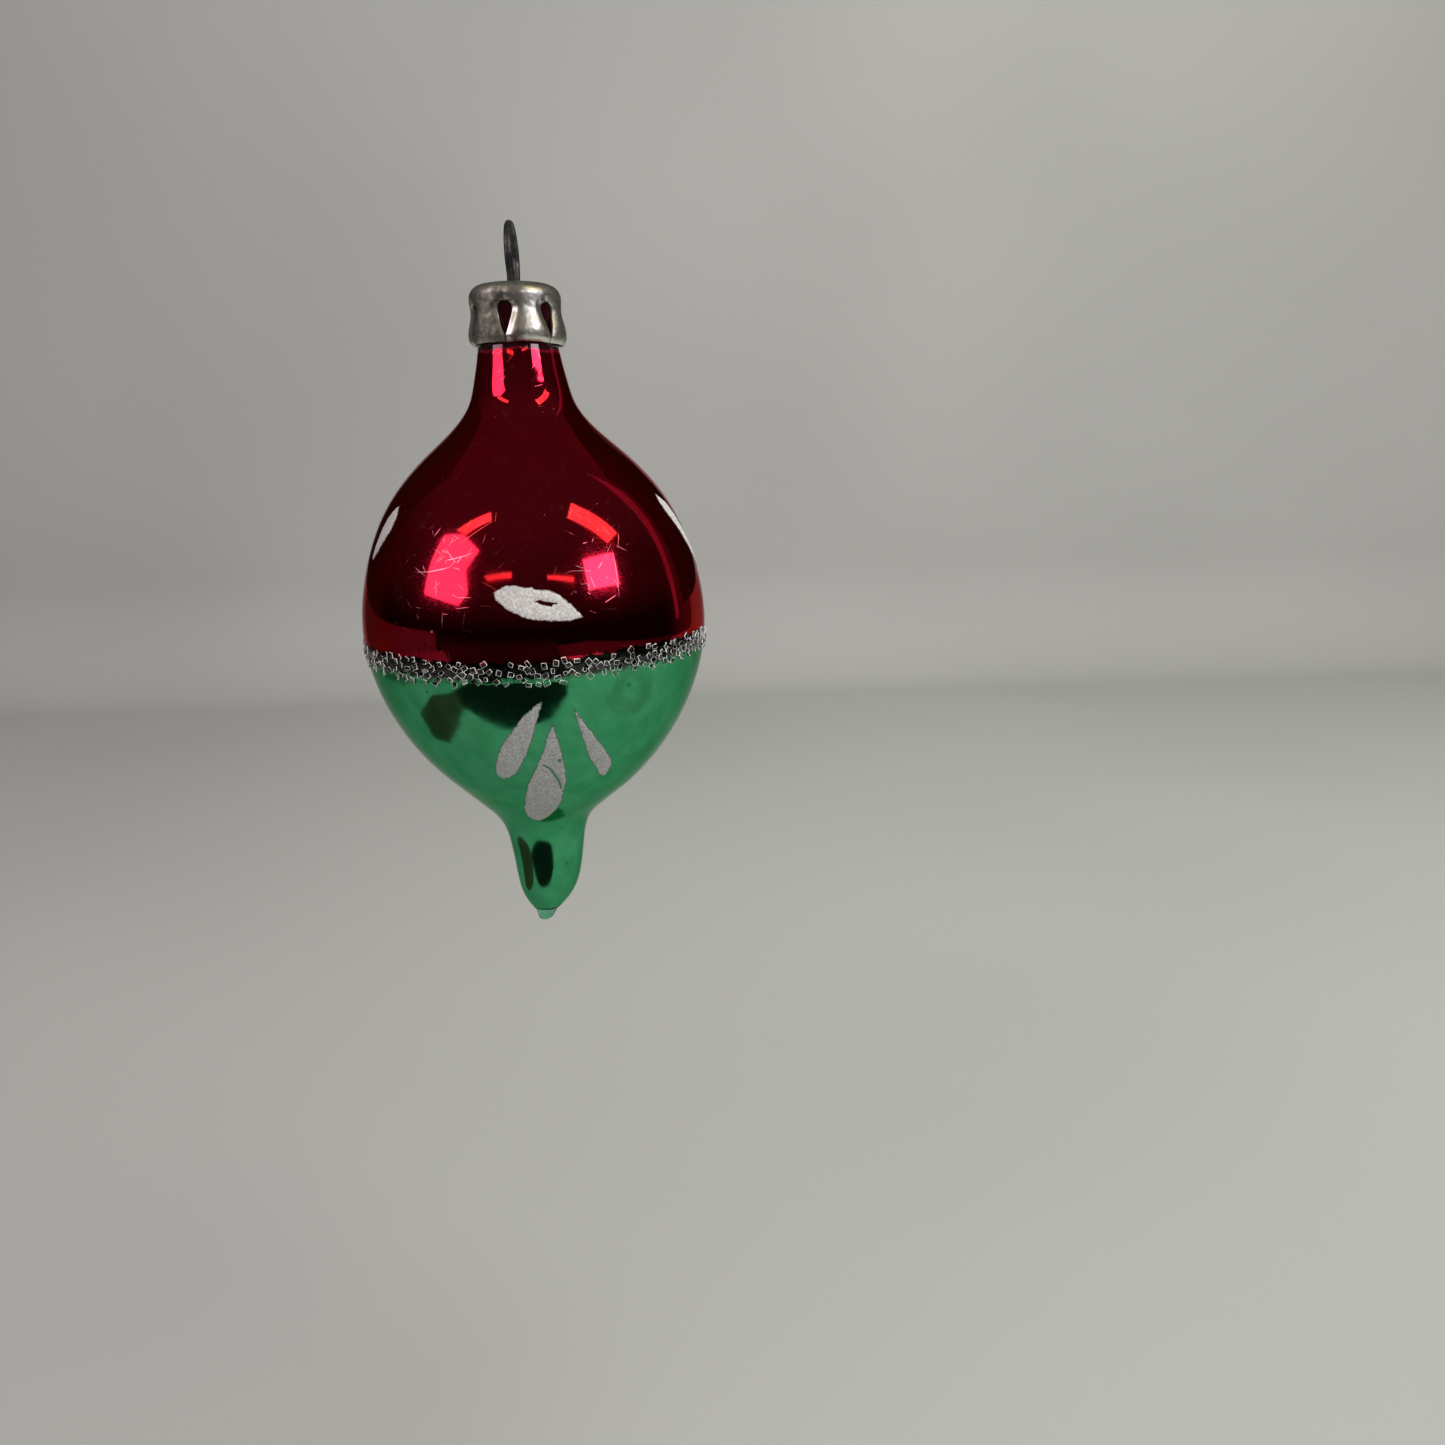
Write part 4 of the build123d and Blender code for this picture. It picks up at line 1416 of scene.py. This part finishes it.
# Dark sheets on the floor, seen only in the reflections, where they paint shade in front and at the sides, as
# across and back in units of the girth's height over the floor
DARK_NEAR = [
    (-1.35, -1.5), (-1.28, -1.05), (-0.95, -0.76), (-0.35, -0.68), (0.2, -0.80), (0.6, -1.15),
    (1.2, -2.4), (1.4, -3.3), (-4.4, -3.3),
]
DARK_FAR = [(-4.4, -3.3), (1.4, -3.3), (9.5, -28.0), (-30.0, -17.0)]
DUSKY_FLOOR = [
    (-1.62, -0.5), (-1.50, 0.15), (-1.12, 0.24), (-0.92, 0.0), (-0.90, -0.5), (-0.95, -0.8), (-1.25, -1.1),
]
DIM_RIGHT = [(1.2, -3.3), (2.6, -2.6), (3.4, -1.2), (3.4, 1.3), (5.3, 1.6), (5.3, -6.3), (1.9, -6.3)]
DIM_LEFT = [(-2.2, -2.3), (-4.8, -4.8), (-4.8, 2.6), (-3.0, 2.2), (-2.3, 0.3)]
# Shades beside the backdrop, as azimuth and elevation in degrees, and how far off they stand
SHADES = {
    "left": [(-108, 0), (-151, 0), (-151, 50), (-108, 50)],
    "right": [(123, 0), (166, 0), (166, 50), (123, 50)],
}
SHADE_DISTANCE = 620
# Above this height the backdrop stays out of the reflections
BACKDROP_SPLIT = 165.0
# Fill lamps: name, share of the fill power, and place in metres; then the side of each in metres
FILL_LAMPS = (("overhead_fill", 1.0, (0.40, -0.05, 0.65)), ("front_fill", 0.48, (0.40, -0.9, 0.25)))
FILL_SIZE = 0.6
# The camera: place in metres from the girth's centre, pitch down, roll, and lens in millimetres
CAMERA_PLACE = (0.0235, -0.1343, 0.0213)
CAMERA_PITCH = math.radians(13.86)
CAMERA_ROLL = math.radians(-1.71)
CAMERA_LENS = 25.91


class ORNAMENT_OT_stage(bpy.types.Operator):
    """Set the stage: floor and backdrop, softboxes, dark sheets that paint shade into the reflections, fill
    lamps and camera
    """

    bl_idname = "ornament.stage"
    bl_label = "Stage, lamps and camera"

    def execute(self, context):
        settings = context.scene.ornament_stage
        self.floor(settings)
        self.shade_sheets(settings)
        self.softboxes(settings)
        self.fill(settings)
        self.world(context.scene)
        self.camera(context.scene)
        return {"FINISHED"}

    def floor(self, settings):
        """A wide table top, and a sheet on it that curves up into the backdrop."""
        paper = backdrop_paper(settings)
        floor, back, bend = -settings.drop / MM, settings.depth / MM, 90.0
        table = [(x, y, floor - 1) for x, y in ((-2600, -900), (900, -900), (900, 1100), (-2600, 1100))]
        wide = build_piece("floor_table", table, [(0, 1, 2, 3)], paper)
        wide.visible_glossy = False
        turn = np.linspace(0, math.pi / 2, 24)
        arc = [(back - bend + bend * math.sin(t), floor + bend - bend * math.cos(t)) for t in turn]
        low = [(-895.0, floor), (-300.0, floor), (0.0, floor), *arc, (back, 100.0), (back, BACKDROP_SPLIT)]
        high = [(back, BACKDROP_SPLIT), (back, 290.0), (back, 420.0)]
        across = np.linspace(-680, 740, 9)
        width = len(across)
        for name, line in (("floor_sweep", low), ("floor_backdrop", high)):
            points = [(x, y, z) for y, z in line for x in across]
            faces = [
                (i * width + j, i * width + j + 1, (i + 1) * width + j + 1, (i + 1) * width + j)
                for i in range(len(line) - 1) for j in range(width - 1)
            ]
            sheet = build_piece(name, points, faces, paper)
            sheet.visible_glossy = name == "floor_sweep"

    def unseen(self, name, points, material, diffuse=True):
        """A flat card that lights the ornament or shows in it, hidden from the camera."""
        card = build_piece(name, points, [tuple(range(len(points)))], material)
        card.visible_camera = card.visible_shadow = card.visible_transmission = False
        card.visible_diffuse = diffuse

    def shade_sheets(self, settings):
        """Dark sheets on the floor and shades at the sides, seen only in the reflections, where they paint
        shade.
        """
        floor = -settings.drop / MM
        height = GIRTH_HEIGHT - floor
        black = shade_sheet("Black shade sheet", (0.006, 0.006, 0.006))
        dusk = shade_sheet("Brown shade sheet", (0.12, 0.045, 0.033))
        grey = shade_sheet("Grey shade sheet", (0.17, 0.165, 0.15))
        charcoal = shade_sheet("Charcoal shade sheet", (0.032, 0.028, 0.028))
        for name, shape, lift, material in (
            ("shade_sheet_near", DARK_NEAR, 4, black), ("shade_sheet_far", DARK_FAR, 4, black),
            ("shade_sheet_dusky", DUSKY_FLOOR, 3, dusk), ("shade_sheet_right", DIM_RIGHT, 2, charcoal),
            ("shade_sheet_left", DIM_LEFT, 2, grey),
        ):
            points = [(x * height, y * height, floor + lift) for x, y in shape]
            self.unseen(name, points, material, diffuse=False)
        for side, corners in SHADES.items():
            self.unseen("shade_" + side, seen_at(corners, SHADE_DISTANCE), charcoal, diffuse=False)

    def softboxes(self, settings):
        far = settings.card_distance / MM
        for name, tone, radiance, corners in SOFTBOXES:
            self.unseen(name, seen_at(corners, far), softbox(name, tone, radiance))

    def fill(self, settings):
        """Two wide soft lamps, overhead and in front, kept out of the reflections."""
        aim = Vector((0, 0.15, -0.1))
        for name, share, stand in FILL_LAMPS:
            lamp = bpy.data.lights.new(name, "AREA")
            lamp.shape, lamp.size, lamp.color = "SQUARE", FILL_SIZE, (1.0, 0.995, 0.98)
            lamp.energy = settings.fill * share
            fill = bpy.data.objects.new(name, lamp)
            fill.location = stand
            fill.rotation_euler = (Vector(stand) - aim).to_track_quat("Z", "Y").to_euler()
            fill.visible_camera = fill.visible_glossy = False
            bpy.context.collection.objects.link(fill)

    def world(self, scene):
        """A dim room in the reflections, and a pale one behind the floor and backdrop."""
        world = bpy.data.worlds.new("Room")
        world.use_nodes = True
        tree = world.node_tree
        background = next(n for n in tree.nodes if n.type == "BACKGROUND")
        direction = node(tree, "ShaderNodeTexCoord").outputs["Generated"]
        parts = node(tree, "ShaderNodeSeparateXYZ", {0: direction})
        low = between(tree, parts.outputs["Z"], -0.02, 0.30)
        high = between(tree, parts.outputs["Z"], 0.25, 0.8)
        behind = between(tree, parts.outputs["Y"], 0.2, 0.9)
        dim = blend_colours(tree, low, (0.005, 0.004, 0.004), (0.038, 0.038, 0.040))
        dim = blend_colours(tree, high, dim, (0.085, 0.082, 0.080))
        dim = blend_colours(tree, behind, dim, (0.13, 0.13, 0.125))
        mirrored = node(tree, "ShaderNodeLightPath").outputs["Is Glossy Ray"]
        colour = blend_colours(tree, mirrored, (0.22, 0.22, 0.217), dim)
        tree.links.new(colour, background.inputs["Color"])
        background.inputs["Strength"].default_value = 1.0
        scene.world = world
        scene.view_settings.view_transform = "Standard"

    def camera(self, scene):
        """A close, slightly raised camera that looks down a little at the ornament."""
        data = bpy.data.cameras.new("Camera")
        data.lens, data.sensor_width = CAMERA_LENS, 36.0
        data.clip_start = 0.005
        camera = bpy.data.objects.new("Camera", data)
        ahead = Vector((0, math.cos(CAMERA_PITCH), -math.sin(CAMERA_PITCH)))
        right = Vector((1, 0, 0))
        up = right.cross(ahead)
        tilted_right = right * math.cos(CAMERA_ROLL) + up * math.sin(CAMERA_ROLL)
        tilted_up = up * math.cos(CAMERA_ROLL) - right * math.sin(CAMERA_ROLL)
        turn = Matrix((tilted_right, tilted_up, -ahead)).transposed()
        across, back, up = CAMERA_PLACE
        stand = Matrix.Translation((across, back, up + GIRTH_HEIGHT * MM))
        camera.matrix_world = stand @ turn.to_4x4()
        bpy.context.collection.objects.link(camera)
        scene.camera = camera


class ORNAMENT_PT_panel(bpy.types.Panel):
    """Settings and build buttons for the ornament"""

    bl_idname = "ORNAMENT_PT_panel"
    bl_label = "Hanging Glass Ornament"
    bl_space_type = "VIEW_3D"
    bl_region_type = "UI"
    bl_category = "Ornament"

    def draw(self, context):
        for title, key, buttons in SECTIONS:
            box = self.layout.box()
            box.label(text=title)
            settings = getattr(context.scene, key)
            for name in settings.bl_rna.properties.keys():
                if name not in {"rna_type", "name"}:
                    box.prop(settings, name)
            for button in buttons:
                box.operator(button)


SECTIONS = (
    ("Glass", "ornament_glass", ("ornament.glass", "ornament.lacquers")),
    ("Paint", "ornament_paint", ("ornament.strokes",)),
    ("Glitter", "ornament_glitter", ("ornament.glitter",)),
    ("Cap", "ornament_cap", ("ornament.cap",)),
    ("Wire", "ornament_wire", ("ornament.wire",)),
    ("Stage", "ornament_stage", ("ornament.stage",)),
)

SETTINGS = {
    "ornament_glass": GlassSettings,
    "ornament_paint": PaintSettings,
    "ornament_glitter": GlitterSettings,
    "ornament_cap": CapSettings,
    "ornament_wire": WireSettings,
    "ornament_stage": StageSettings,
}

CLASSES = (
    *SETTINGS.values(),
    ORNAMENT_OT_glass,
    ORNAMENT_OT_lacquers,
    ORNAMENT_OT_strokes,
    ORNAMENT_OT_glitter,
    ORNAMENT_OT_cap,
    ORNAMENT_OT_wire,
    ORNAMENT_OT_stage,
    ORNAMENT_PT_panel,
)


def register():
    for cls in CLASSES:
        bpy.utils.register_class(cls)
    for key, cls in SETTINGS.items():
        setattr(bpy.types.Scene, key, PointerProperty(type=cls))


def unregister():
    for key in SETTINGS:
        delattr(bpy.types.Scene, key)
    for cls in reversed(CLASSES):
        bpy.utils.unregister_class(cls)


def main():
    register()
    bpy.ops.ornament.stage()
    bpy.ops.ornament.glass()
    bpy.ops.ornament.lacquers()
    bpy.ops.ornament.strokes()
    bpy.ops.ornament.glitter()
    bpy.ops.ornament.cap()
    bpy.ops.ornament.wire()


if __name__ == "__main__":
    main()
